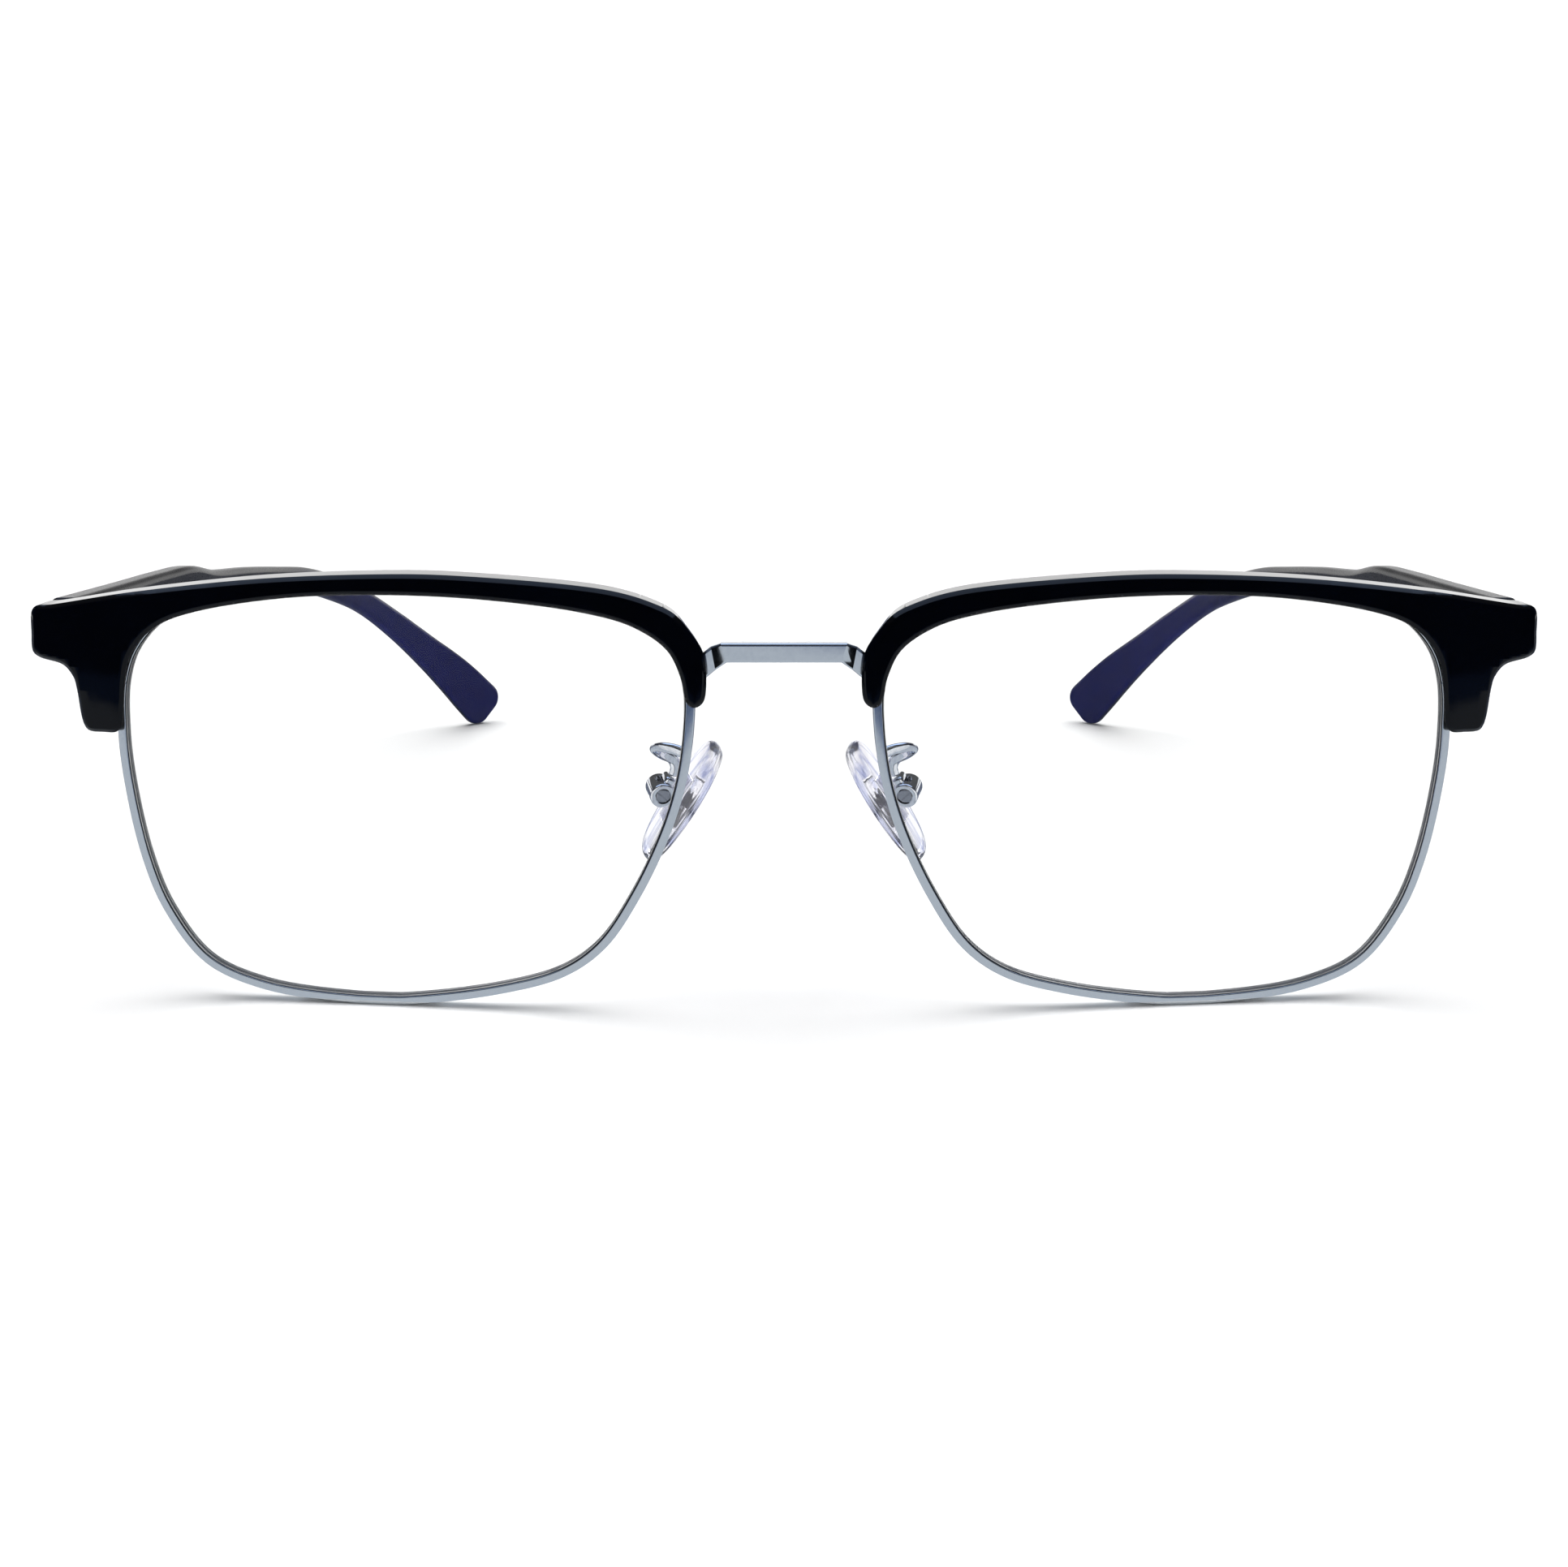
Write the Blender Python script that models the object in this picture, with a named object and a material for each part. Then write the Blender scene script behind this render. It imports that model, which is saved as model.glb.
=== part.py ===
"""Half rim (browline) eyeglasses: metal eye wires and bridge, plastic brow bars, folding temples.

Metres, +Z up. The glasses stand on the rim bottoms and the temple tips, and look along -Y. The wearer's
left is +X. Each piece of one side is modelled at +X, and make_side mirrors it for the other side.
"""

import math

import bmesh
import bpy
from mathutils import Matrix, Vector
from mathutils.geometry import normal, tessellate_polygon

# Placing: the design frame has y = 0 at the lens centres, and this moves it to the middle of the length.
FRONT_Y = -0.0697

# The curved front: a sphere for each eye, wrapped back towards the temples.
EYE_X = 0.036
EYE_Z = 0.0195
LENS_RADIUS = 0.130
WRAP = math.radians(5)

# Eye wire (rim), from its outer contour inwards, and the lens in its groove.
RIM_WIDTH = 0.00085
RIM_DEPTH = 0.0017
RIM_BEVEL = 0.00015
GROOVE_HALF = 0.00042
GROOVE_DEPTH = 0.00040
LENS_THICKNESS = 0.0016
LENS_GAP = 0.00008
LENS_BEVEL_SHARE = 0.8
LENS_RING_SHARE = 0.5
SPLIT_HALF = 0.00012
RIM_ANCHORS = (
    (0.0625, 0.0307), (0.0613, 0.0340), (0.0585, 0.0370), (0.0540, 0.0388), (0.0480, 0.0397),
    (0.0400, 0.0403), (0.0320, 0.0403), (0.0240, 0.0399), (0.0170, 0.0390), (0.0122, 0.0373),
    (0.0093, 0.0345), (0.0083, 0.0310), (0.0083, 0.0271), (0.0090, 0.0222), (0.0105, 0.0173),
    (0.0134, 0.0111), (0.0168, 0.0060), (0.0206, 0.0032), (0.0266, 0.0014), (0.0366, 0.0000),
    (0.0404, 0.0000), (0.0500, 0.0010), (0.0557, 0.0034), (0.0594, 0.0085), (0.0612, 0.0136),
    (0.0625, 0.0212), (0.0628, 0.0260),
)

# Brow bar: a front wall, a groove for the eye wire and a rear wall.
BROW_FRONT = -0.00195
BROW_REAR = 0.00165
REAR_TAPER = 0.0007
REAR_INSET = 0.0002
REAR_NASAL_TAPER = 0.0003
BROW_BEVEL = 0.00036
BROW_GROOVE_HALF = 0.00095
BROW_GROOVE_GAP = 0.00010
GROOVE_CUT_WIDTH = 0.0030
BROW_ANCHORS = (
    (0.0089, 0.0295), (0.0082, 0.0291), (0.0074, 0.0296), (0.0071, 0.0318), (0.0074, 0.0342),
    (0.0085, 0.0360), (0.0100, 0.0377), (0.0122, 0.0388), (0.0151, 0.0397), (0.0195, 0.0404),
    (0.0297, 0.0412), (0.0357, 0.0413), (0.0478, 0.0407), (0.0606, 0.0391), (0.0690, 0.0376),
    (0.0706, 0.0374), (0.0711, 0.0369), (0.0712, 0.0349), (0.0711, 0.0331), (0.0704, 0.0326),
    (0.0679, 0.0320), (0.0669, 0.0309), (0.0666, 0.0298), (0.0661, 0.0267), (0.0656, 0.0260),
    (0.0640, 0.0259), (0.0627, 0.0260), (0.0621, 0.0266), (0.0618, 0.0285), (0.0616, 0.0306),
    (0.0611, 0.0328), (0.0600, 0.0345), (0.0579, 0.0362), (0.0543, 0.0375), (0.0454, 0.0390),
    (0.0357, 0.0394), (0.0268, 0.0390), (0.0180, 0.0378), (0.0137, 0.0365), (0.0107, 0.0344),
    (0.0095, 0.0320),
)

# Bridge bar between the two eye wires: (x, y, z, half height, lean) along the half at +X.
BRIDGE_HALF_DEPTH = 0.0008
BRIDGE_BEVEL = 0.0003
BRIDGE_STATIONS = (
    (0.0055, 0.0003, 0.03415, 0.0009, 0.00025),
    (0.0065, 0.0012, 0.03350, 0.0011, 0.00020),
    (0.0081, 0.0013, 0.03220, 0.0013, 0.0),
)
BRIDGE_NOTCH = ((0.0060, 0.0003, 0.0307), (0.0086, 0.0023, 0.0345))

# Rim lock: two blocks on the ends of the split eye wire, closed by a screw.
LOCK_LOWER = ((0.0630, 0.0287), (0.0651, 0.0287), (0.0651, 0.0305), (0.0629, 0.0305))
LOCK_UPPER = ((0.0628, 0.0309), (0.0651, 0.0309), (0.0651, 0.0327), (0.0623, 0.0327))
LOCK_POCKET = ((0.0618, 0.0285), (0.0653, 0.0285), (0.0653, 0.0329), (0.0610, 0.0329))
LOCK_HALF_DEPTH = 0.00078
LOCK_POCKET_HALF = 0.00088
LOCK_X = 0.0641
LOCK_SCREW_RADIUS = 0.00045
LOCK_HEAD_RADIUS = 0.00065
LOCK_HEAD_HEIGHT = 0.00035
LOCK_ACCESS_FOOT = 0.0255
LOCK_ACCESS_HEIGHT = 0.0040
LOCK_BORE_EXTRA = 0.0010
LOCK_TIP_INSET = 0.0002

# Temple hinge: a vertical axis just inside the temple, at the butt joint.
BUTT_Y = 0.0120
BUTT_GAP = 0.00015
HINGE_X = 0.0667
HINGE_Y = 0.0125
HINGE_Z = 0.0350
KNUCKLE_RADIUS = 0.00115
BORE_RADIUS = 0.00065
PIN_RADIUS = 0.00055
PIN_HEAD_RADIUS = 0.00095
PIN_HEAD_HEIGHT = 0.00040
PIN_RIM_SHARE = 0.6
PIN_CROWN_SHARE = 0.7
OUTER_KNUCKLE = 0.0011
INNER_KNUCKLE = 0.0015
KNUCKLE_GAP = 0.00015
PRESS_GAP = 0.00010
LEAF_OVERLAP = 0.0004
BORE_HALF_LENGTH = 0.0040
FRONT_LEAF = ((0.0646, 0.0099, 0.0330), (0.0678, 0.0107, 0.0370))
FRONT_FOOT = ((0.0650, 0.0066, 0.0336), (0.0674, 0.0102, 0.0366))
TEMPLE_LEAF = ((0.0669, 0.0139, 0.0331), (0.0676, 0.0205, 0.0369))
TEMPLE_FOOT = ((0.0674, 0.0150, 0.0340), (0.0684, 0.0195, 0.0360))
END_BLOCK = ((0.0682, 0.0078, 0.03305), (0.0708, BUTT_Y - BUTT_GAP, 0.0371))

# Temple: (y, centre x, centre z, height, thickness) from the butt joint to the tip.
TEMPLE_STATIONS = (
    (0.0120, 0.06945, 0.0350, 0.0050, 0.0029),
    (0.0280, 0.06890, 0.0344, 0.0050, 0.0028),
    (0.0400, 0.06840, 0.0340, 0.0050, 0.0028),
    (0.0480, 0.06790, 0.0337, 0.0048, 0.0027),
    (0.0560, 0.06750, 0.0327, 0.0039, 0.0024),
    (0.0700, 0.06690, 0.0313, 0.0038, 0.0022),
    (0.0840, 0.06610, 0.0297, 0.0036, 0.0021),
    (0.0950, 0.06500, 0.0282, 0.0035, 0.0020),
    (0.1050, 0.06340, 0.0258, 0.0035, 0.0020),
    (0.1140, 0.06120, 0.0226, 0.0035, 0.0020),
    (0.1220, 0.05830, 0.0181, 0.0040, 0.0020),
    (0.1290, 0.05490, 0.0129, 0.0050, 0.0020),
    (0.1340, 0.05140, 0.0080, 0.0063, 0.0020),
    (0.1372, 0.04800, 0.0032, 0.0070, 0.0019),
    (0.1379, 0.04728, 0.0022, 0.0058, 0.0018),
    (0.1382, 0.04698, 0.0018, 0.0030, 0.0012),
)
TEMPLE_CORNER = 0.0007
CORNER_LIMIT = 0.45
CORNER_CUT = 0.3
CORE_HEIGHT = 0.0014
CORE_THICKNESS = 0.0007
CORE_GAP = 0.00010
CORE_START = 0.00010
CHANNEL_START = -0.0010
CORE_LAST_STATION = 11

# Nose pad, its core and the box that holds it; the pad rocks on the screw, which lies along the width.
PAD_CENTRE = Vector((0.0099, 0.0085, 0.0182))
PAD_UP = Vector((-0.54, -0.05, 0.84)).normalized()
PAD_REAR = Vector((0.37, 0.93, 0.0))
PAD_HALF_LENGTH = 0.0066
PAD_HALF_WIDTH = 0.0034
PAD_HALF_THICKNESS = 0.00105
PIVOT_OFFSET = 0.0025
BOX_RADIUS = 0.00125
BOX_HALF_WIDTH = 0.0014
SLOT_HALF = 0.00065
SLOT_UPPER = 0.0012
SLOT_LOWER = 0.0020
NECK = ((-0.0009, 0.0007, 0.0019), (0.0009, 0.0018, 0.0030))
LUG_HALF = 0.0005
LUG_RADIUS = 0.0008
LUG_SLACK = 0.0002
LUG_BORE_HALF = 0.0020
BOX_BORE_HALF = 0.0030
CORE_PLATE = (0.0026, 0.0011, 0.00025)
CORE_PLATE_OUT = 0.0003
PAD_SCREW_RADIUS = 0.0004
PAD_BORE_RADIUS = 0.0005
PAD_HEAD_RADIUS = 0.0007
PAD_HEAD_HEIGHT = 0.0003
ARM_RADIUS_WIDE = 0.00055
ARM_RADIUS_THIN = 0.00038
ARM_FLAT_WAY = Vector((0.3, 1.0, 0.2))
ARM_POINTS = (
    (0.0091, 0.0018, 0.0243), (0.0102, 0.0024, 0.0246), (0.0115, 0.0034, 0.0246), (0.0122, 0.0049, 0.0242),
    (0.0117, 0.0063, 0.0234), (0.0107, 0.0070, 0.0227), (0.0104, 0.0072, 0.0219), (0.0106, 0.0073, 0.0210),
)

Y_AXIS = Vector((0, 1, 0))
Z_AXIS = Vector((0, 0, 1))
ROUND_SIDES = 20
SCREW_SIDES = 16
LOCK_SCREW_SIDES = 12
WIRE_SIDES = 8
PAD_RINGS = 11
PAD_SIDES = 16
PAD_END_SHARE = 0.35
PAD_WIDTH_POWER = 0.6
PAD_THICKNESS_POWER = 0.55
OUTLINE_STEPS = 2
ARM_STEPS = 3
SIDES = {"left": 1, "right": -1}
SHARP_ANGLE = math.radians(35)

MATERIALS = {
    "brow_black": ((0.010, 0.011, 0.020), 0.12, 0.0, 1.0),
    "wire_silver": ((0.60, 0.63, 0.66), 0.28, 1.0, 1.0),
    "bright_chrome": ((0.78, 0.79, 0.81), 0.10, 1.0, 1.0),
    "lens_clear": ((0.97, 0.98, 0.98), 0.02, 0.0, 0.12),
    "pad_silicone": ((0.90, 0.90, 0.92), 0.15, 0.0, 0.35),
    "temple_navy": ((0.016, 0.017, 0.045), 0.25, 0.0, 1.0),
    "core_steel": ((0.50, 0.51, 0.53), 0.35, 1.0, 1.0),
    "core_clear": ((0.86, 0.88, 0.95), 0.08, 0.0, 0.30),
}


def clear_scene():
    """Remove every object, so that the model starts from an empty scene."""
    for obj in list(bpy.data.objects):
        bpy.data.objects.remove(obj)


def material(slot, name):
    """A Principled material for one piece."""
    colour, roughness, metallic, alpha = MATERIALS[slot]
    made = bpy.data.materials.new(name)
    made.use_nodes = True
    shader = made.node_tree.nodes["Principled BSDF"]
    shader.inputs["Base Color"].default_value = (*colour, 1.0)
    shader.inputs["Roughness"].default_value = roughness
    shader.inputs["Metallic"].default_value = metallic
    shader.inputs["Alpha"].default_value = alpha
    return made


def empty(name, place, parent=None):
    """An empty that marks a frame or a joint's axis."""
    made = bpy.data.objects.new(name, None)
    made.location = place
    made.parent = parent
    bpy.context.scene.collection.objects.link(made)
    return made


def add(bm, name, side, parent, slot=None):
    """An object from a shape modelled at +X. With no material slot it is a cutter, hidden in renders."""
    if side < 0:
        bm.transform(Matrix.Scale(-1, 4, (1, 0, 0)))
        bmesh.ops.reverse_faces(bm, faces=bm.faces)
    mesh = bpy.data.meshes.new(name)
    bm.to_mesh(mesh)
    bm.free()
    made = bpy.data.objects.new(name, mesh)
    made.parent = parent
    if parent.parent:
        made.location = -parent.location
    bpy.context.scene.collection.objects.link(made)
    if slot:
        mesh.materials.append(material(slot, name))
        mesh.shade_smooth()
        mesh.set_sharp_from_angle(angle=SHARP_ANGLE)
    else:
        made.hide_render = True
        made.display_type = "WIRE"
    return made


def boolean(target, operation, other):
    """Join a shape to a piece, or cut it out of the piece."""
    step = target.modifiers.new(other.name, "BOOLEAN")
    step.operation = operation
    step.object = other


def face_depth(x, z):
    """How far the curved front lies behind the front plane at (x, z)."""
    across = abs(x) - EYE_X
    up = z - EYE_Z
    return math.tan(WRAP) * across + (across * across + up * up) / (2 * LENS_RADIUS)


def on_front(x, z, depth):
    """A point that lies this deep behind the curved front."""
    return (x, face_depth(x, z) + depth, z)


def between(a, b, ta, tb, t):
    """The point at t on the straight line that passes a at ta and b at tb."""
    return a.lerp(b, (t - ta) / (tb - ta))


def curve_point(p, share):
    """A point between p[1] and p[2] on the centripetal Catmull-Rom curve through four points."""
    t = [0.0]
    for a, b in zip(p, p[1:]):
        t.append(t[-1] + math.sqrt((b - a).length))
    at = t[1] + share * (t[2] - t[1])
    first = [between(p[i], p[i + 1], t[i], t[i + 1], at) for i in range(3)]
    second = [between(first[i], first[i + 1], t[i], t[i + 2], at) for i in range(2)]
    return between(second[0], second[1], t[1], t[2], at)


def smooth_loop(anchors, steps):
    """A closed smooth curve through the anchors, with this many points for each span."""
    p = [Vector(anchor) for anchor in anchors]
    n = len(p)
    return [
        curve_point([p[i - 1], p[i], p[(i + 1) % n], p[(i + 2) % n]], k / steps)
        for i in range(n)
        for k in range(steps)
    ]


def smooth_path(anchors, steps):
    """An open smooth curve through the anchors."""
    p = [Vector(anchor) for anchor in anchors]
    p = [2 * p[0] - p[1], *p, 2 * p[-1] - p[-2]]
    spans = range(1, len(p) - 2)
    found = [curve_point(p[i - 1 : i + 3], k / steps) for i in spans for k in range(steps)]
    return [*found, p[-2]]


def inward_normals(loop):
    """The direction into a closed outline at each of its points, for an outline in either direction."""
    area = sum(a.cross(b) for a, b in zip(loop, loop[1:] + loop[:1]))
    turn = 1 if area > 0 else -1
    found = []
    for i in range(len(loop)):
        along = (loop[(i + 1) % len(loop)] - loop[i - 1]).normalized()
        found.append(Vector((-along.y, along.x)) * turn)
    return found


def offset_loop(loop, distance):
    """The outline moved inwards by a distance."""
    return [p + n * distance for p, n in zip(loop, inward_normals(loop))]


def cap(bm, row, facing):
    """Fill a ring of vertices with triangles that stay inside its outline, seen along a direction."""
    along = facing.normalized()
    outline = [v.co - along * v.co.dot(along) for v in row]
    for a, b, c in tessellate_polygon([outline]):
        bm.faces.new((row[a], row[b], row[c]))


def skin(rings, closed_ends=True, closed_round=False, facing=None):
    """A closed surface through rings of points, capped at its ends or joined round."""
    bm = bmesh.new()
    rows = [[bm.verts.new(point) for point in ring] for ring in rings]
    pairs = list(zip(rows, rows[1:]))
    if closed_round:
        pairs.append((rows[-1], rows[0]))
    for near, far in pairs:
        for i in range(len(near)):
            j = (i + 1) % len(near)
            bm.faces.new((near[i], near[j], far[j], far[i]))
    if closed_ends:
        for row in (rows[0], rows[-1]):
            cap(bm, row, facing or normal([v.co for v in row]))
    bmesh.ops.recalc_face_normals(bm, faces=bm.faces)
    return bm


def band(loop, start, stop, half):
    """A closed band that follows an outline on the curved front, between two inward offsets of it."""
    rings = []
    for point, inner in zip(loop, inward_normals(loop)):
        corners = ((start, -half), (stop, -half), (stop, half), (start, half))
        places = [(point + inner * inset, depth) for inset, depth in corners]
        rings.append([on_front(p.x, p.y, depth) for p, depth in places])
    return skin(rings, closed_ends=False, closed_round=True)


def plate(outline, low, high):
    """An outline given a thickness along the curved front."""
    loop = [Vector(point) for point in outline]
    rings = [[on_front(p.x, p.y, depth) for p in loop] for depth in (low, high)]
    return skin(rings, facing=Y_AXIS)


def box(low, high, grow=0.0):
    """A box between two corners, grown by a gap on every side."""
    low = Vector(low) - Vector((grow, grow, grow))
    high = Vector(high) + Vector((grow, grow, grow))
    bm = bmesh.new()
    bmesh.ops.create_cube(bm, size=1)
    bmesh.ops.scale(bm, vec=high - low, verts=bm.verts)
    bmesh.ops.translate(bm, vec=(low + high) / 2, verts=bm.verts)
    return bm


def turned(profile, centre, axis, sides=ROUND_SIDES):
    """A solid of revolution from (radius, distance along the axis) pairs."""
    axis = Vector(axis).normalized()
    across = axis.orthogonal().normalized()
    other = axis.cross(across)
    rings = []
    for radius, along in profile:
        middle = Vector(centre) + axis * along
        angles = [2 * math.pi * i / sides for i in range(sides)]
        rings.append([middle + (across * math.cos(a) + other * math.sin(a)) * radius for a in angles])
    return skin(rings)


def rod(radius, low, high, centre, axis):
    """A plain round rod."""
    return turned(((radius, low), (radius, high)), centre, axis)


def tab(radius, reach, low, high, centre, axis, towards):
    """A tab with a half-round end about an axis. Its straight sides run this far in one direction."""
    axis = Vector(axis).normalized()
    towards = Vector(towards).normalized()
    across = axis.cross(towards)
    outline = [across * radius + towards * reach, -across * radius + towards * reach]
    for i in range(ROUND_SIDES // 2 + 1):
        angle = math.pi * i / (ROUND_SIDES // 2)
        outline.append(-across * (radius * math.cos(angle)) - towards * (radius * math.sin(angle)))
    return skin([[Vector(centre) + p + axis * along for p in outline] for along in (low, high)])


def rim_loop():
    """The eye wire's outer contour, kept flat where it stands on the table."""
    return [Vector((p.x, max(p.y, 0.0))) for p in smooth_loop(RIM_ANCHORS, OUTLINE_STEPS)]


def rim_shape():
    """A split eye wire with a groove along its inside. Its ends face each other in the rim lock."""
    loop = rim_loop()
    inward = inward_normals(loop)
    half = RIM_DEPTH / 2
    section = (
        (0.0, half - RIM_BEVEL), (RIM_BEVEL, half), (RIM_WIDTH - RIM_BEVEL, half),
        (RIM_WIDTH, half - RIM_BEVEL), (RIM_WIDTH, GROOVE_HALF), (RIM_WIDTH - GROOVE_DEPTH, 0.0),
        (RIM_WIDTH, -GROOVE_HALF), (RIM_WIDTH, RIM_BEVEL - half), (RIM_WIDTH - RIM_BEVEL, -half),
        (RIM_BEVEL, -half), (0.0, RIM_BEVEL - half),
    )
    start = loop[0] + (loop[1] - loop[0]).normalized() * SPLIT_HALF
    end = loop[0] + (loop[-1] - loop[0]).normalized() * SPLIT_HALF
    stations = [(start, inward[0]), *zip(loop[1:], inward[1:]), (end, inward[0])]
    rings = []
    for point, inner in stations:
        places = [(point + inner * inset, depth) for inset, depth in section]
        rings.append([on_front(p.x, p.y, depth) for p, depth in places])
    return skin(rings)


def lens_shape():
    """A meniscus lens whose bevelled edge sits in the eye wire's groove."""
    loop = rim_loop()
    edge = offset_loop(loop, RIM_WIDTH + LENS_GAP)
    ridge = offset_loop(loop, RIM_WIDTH + LENS_GAP - GROOVE_DEPTH * LENS_BEVEL_SHARE)
    middle = Vector((EYE_X, EYE_Z))
    half = LENS_THICKNESS / 2
    bevel = GROOVE_HALF * LENS_BEVEL_SHARE
    layers = (
        (edge, LENS_RING_SHARE, -half), (edge, 1.0, -half), (edge, 1.0, -bevel), (ridge, 1.0, 0.0),
        (edge, 1.0, bevel), (edge, 1.0, half), (edge, LENS_RING_SHARE, half),
    )
    rings = []
    for outline, share, depth in layers:
        places = [middle.lerp(point, share) for point in outline]
        rings.append([on_front(p.x, p.y, depth) for p in places])
    bm = skin(rings, closed_ends=False)
    for ring_edge, depth in ((0, -half), (len(rings) - 1, half)):
        bm.verts.ensure_lookup_table()
        count = len(loop)
        ring = bm.verts[ring_edge * count : (ring_edge + 1) * count]
        centre = bm.verts.new(on_front(EYE_X, EYE_Z, depth))
        for i in range(count):
            bm.faces.new((ring[i], ring[(i + 1) % count], centre))
    bmesh.ops.recalc_face_normals(bm, faces=bm.faces)
    return bm


def rear_outline(loop):
    """The brow bar's outline at the back: slimmer towards the lens and towards the nose."""
    rear = []
    for point, inner in zip(loop, inward_normals(loop)):
        facing_lens = max(0.0, inner.dot((point - Vector((EYE_X, EYE_Z))).normalized()))
        on_top = max(0.0, -inner.y)
        facing_nose = max(0.0, inner.x) if point.x < EYE_X else 0.0
        inset = REAR_INSET * (1 - on_top) + REAR_TAPER * facing_lens + REAR_NASAL_TAPER * facing_nose
        rear.append(point + inner * inset)
    return rear


def make_brow(name, side, root):
    """The plastic brow bar: a bevelled plate, an end block at the hinge, and the grooves cut in it."""
    loop = smooth_loop(BROW_ANCHORS, OUTLINE_STEPS)
    rear = rear_outline(loop)
    layers = (
        (offset_loop(loop, BROW_BEVEL), BROW_FRONT), (loop, BROW_FRONT + BROW_BEVEL), (rear, BROW_REAR),
    )
    rings = [[on_front(p.x, p.y, depth) for p in outline] for outline, depth in layers]
    brow = add(skin(rings, facing=Y_AXIS), f"brow_bar_{name}", side, root, "brow_black")
    boolean(brow, "UNION", add(box(*END_BLOCK), f"end_block_{name}", side, root))
    groove = band(rim_loop(), -BROW_GROOVE_GAP, GROOVE_CUT_WIDTH, BROW_GROOVE_HALF)
    lock_y = face_depth(LOCK_X, LOCK_UPPER[0][1])
    access_foot = (LOCK_X, lock_y, LOCK_ACCESS_FOOT)
    cutters = {
        "eye_wire_groove": groove,
        "lock_pocket": plate(LOCK_POCKET, -LOCK_POCKET_HALF, LOCK_POCKET_HALF),
        "lock_access": rod(LOCK_HEAD_RADIUS + PRESS_GAP, 0.0, LOCK_ACCESS_HEIGHT, access_foot, Z_AXIS),
        "bridge_notch": box(*BRIDGE_NOTCH),
        "hinge_pocket": box(*FRONT_FOOT, PRESS_GAP),
    }
    for what, shape in cutters.items():
        boolean(brow, "DIFFERENCE", add(shape, f"{what}_{name}", side, root))


def make_rim_lock(name, side, root):
    """The two closing blocks at the split of the eye wire, and their screw."""
    lock_y = face_depth(LOCK_X, LOCK_UPPER[0][1])
    centre = (LOCK_X, lock_y, 0.0)
    low = LOCK_LOWER[0][1]
    high = LOCK_UPPER[2][1]
    bore_radius = LOCK_SCREW_RADIUS + PRESS_GAP
    for where, outline in (("lower", LOCK_LOWER), ("upper", LOCK_UPPER)):
        shape = plate(outline, -LOCK_HALF_DEPTH, LOCK_HALF_DEPTH)
        block = add(shape, f"rim_lock_{where}_{name}", side, root, "wire_silver")
        bore = rod(bore_radius, low - LOCK_BORE_EXTRA, high + LOCK_BORE_EXTRA, centre, Z_AXIS)
        boolean(block, "DIFFERENCE", add(bore, f"lock_bore_{where}_{name}", side, root))
    head = low - PRESS_GAP
    profile = (
        (LOCK_HEAD_RADIUS, head - LOCK_HEAD_HEIGHT), (LOCK_HEAD_RADIUS, head),
        (LOCK_SCREW_RADIUS, head), (LOCK_SCREW_RADIUS, high - LOCK_TIP_INSET),
    )
    screw = turned(profile, centre, Z_AXIS, LOCK_SCREW_SIDES)
    add(screw, f"rim_lock_screw_{name}", side, root, "bright_chrome")


def bridge_section(x, y, z, h, lean):
    """The bridge's section: a flat bar with bevelled edges, its upper edge set out by the lean."""
    d = BRIDGE_HALF_DEPTH
    b = BRIDGE_BEVEL
    front = ((-d, b - h), (-d, h - b), (b - d, h))
    back = tuple((-depth, height) for depth, height in reversed(front))
    below = ((d - b, -h), (b - d, -h))
    corners = (*front, *back, *below)
    return [(x + lean * height / h, y + depth, z + height) for depth, height in corners]


def make_bridge(root):
    """One bar with a bent leg at each end, which stops at the eye wires."""
    left = [(-x, y, z, h, -lean) for x, y, z, h, lean in reversed(BRIDGE_STATIONS)]
    rings = [bridge_section(*station) for station in (*left, *BRIDGE_STATIONS)]
    add(skin(rings), "bridge", 1, root, "wire_silver")


def make_front_hinge(name, side, root):
    """The front leaf: a foot sunk in the brow bar, a plate and two outer knuckles."""
    hinge = add(box(*FRONT_LEAF), f"front_hinge_{name}", side, root, "bright_chrome")
    boolean(hinge, "UNION", add(box(*FRONT_FOOT), f"front_foot_{name}", side, root))
    start = INNER_KNUCKLE / 2 + KNUCKLE_GAP
    centre = (HINGE_X, HINGE_Y, HINGE_Z)
    reach = HINGE_Y - FRONT_LEAF[1][1] + LEAF_OVERLAP
    for where, low in (("top", start), ("base", -start - OUTER_KNUCKLE)):
        high = low + OUTER_KNUCKLE
        knuckle = tab(KNUCKLE_RADIUS, reach, low, high, centre, Z_AXIS, -Y_AXIS)
        boolean(hinge, "UNION", add(knuckle, f"front_knuckle_{where}_{name}", side, root))
    bore = rod(BORE_RADIUS, -BORE_HALF_LENGTH, BORE_HALF_LENGTH, centre, Z_AXIS)
    boolean(hinge, "DIFFERENCE", add(bore, f"front_bore_{name}", side, root))


def make_hinge_screw(name, side, root):
    """The hinge pin, with its head on the upper knuckle."""
    top = INNER_KNUCKLE / 2 + KNUCKLE_GAP + OUTER_KNUCKLE
    head = top + PRESS_GAP / 2
    profile = (
        (PIN_RADIUS, -top), (PIN_RADIUS, head), (PIN_HEAD_RADIUS, head),
        (PIN_HEAD_RADIUS, head + PIN_HEAD_HEIGHT * PIN_RIM_SHARE),
        (PIN_HEAD_RADIUS * PIN_CROWN_SHARE, head + PIN_HEAD_HEIGHT),
    )
    screw = turned(profile, (HINGE_X, HINGE_Y, HINGE_Z), Z_AXIS, SCREW_SIDES)
    add(screw, f"hinge_screw_{name}", side, root, "bright_chrome")


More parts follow.
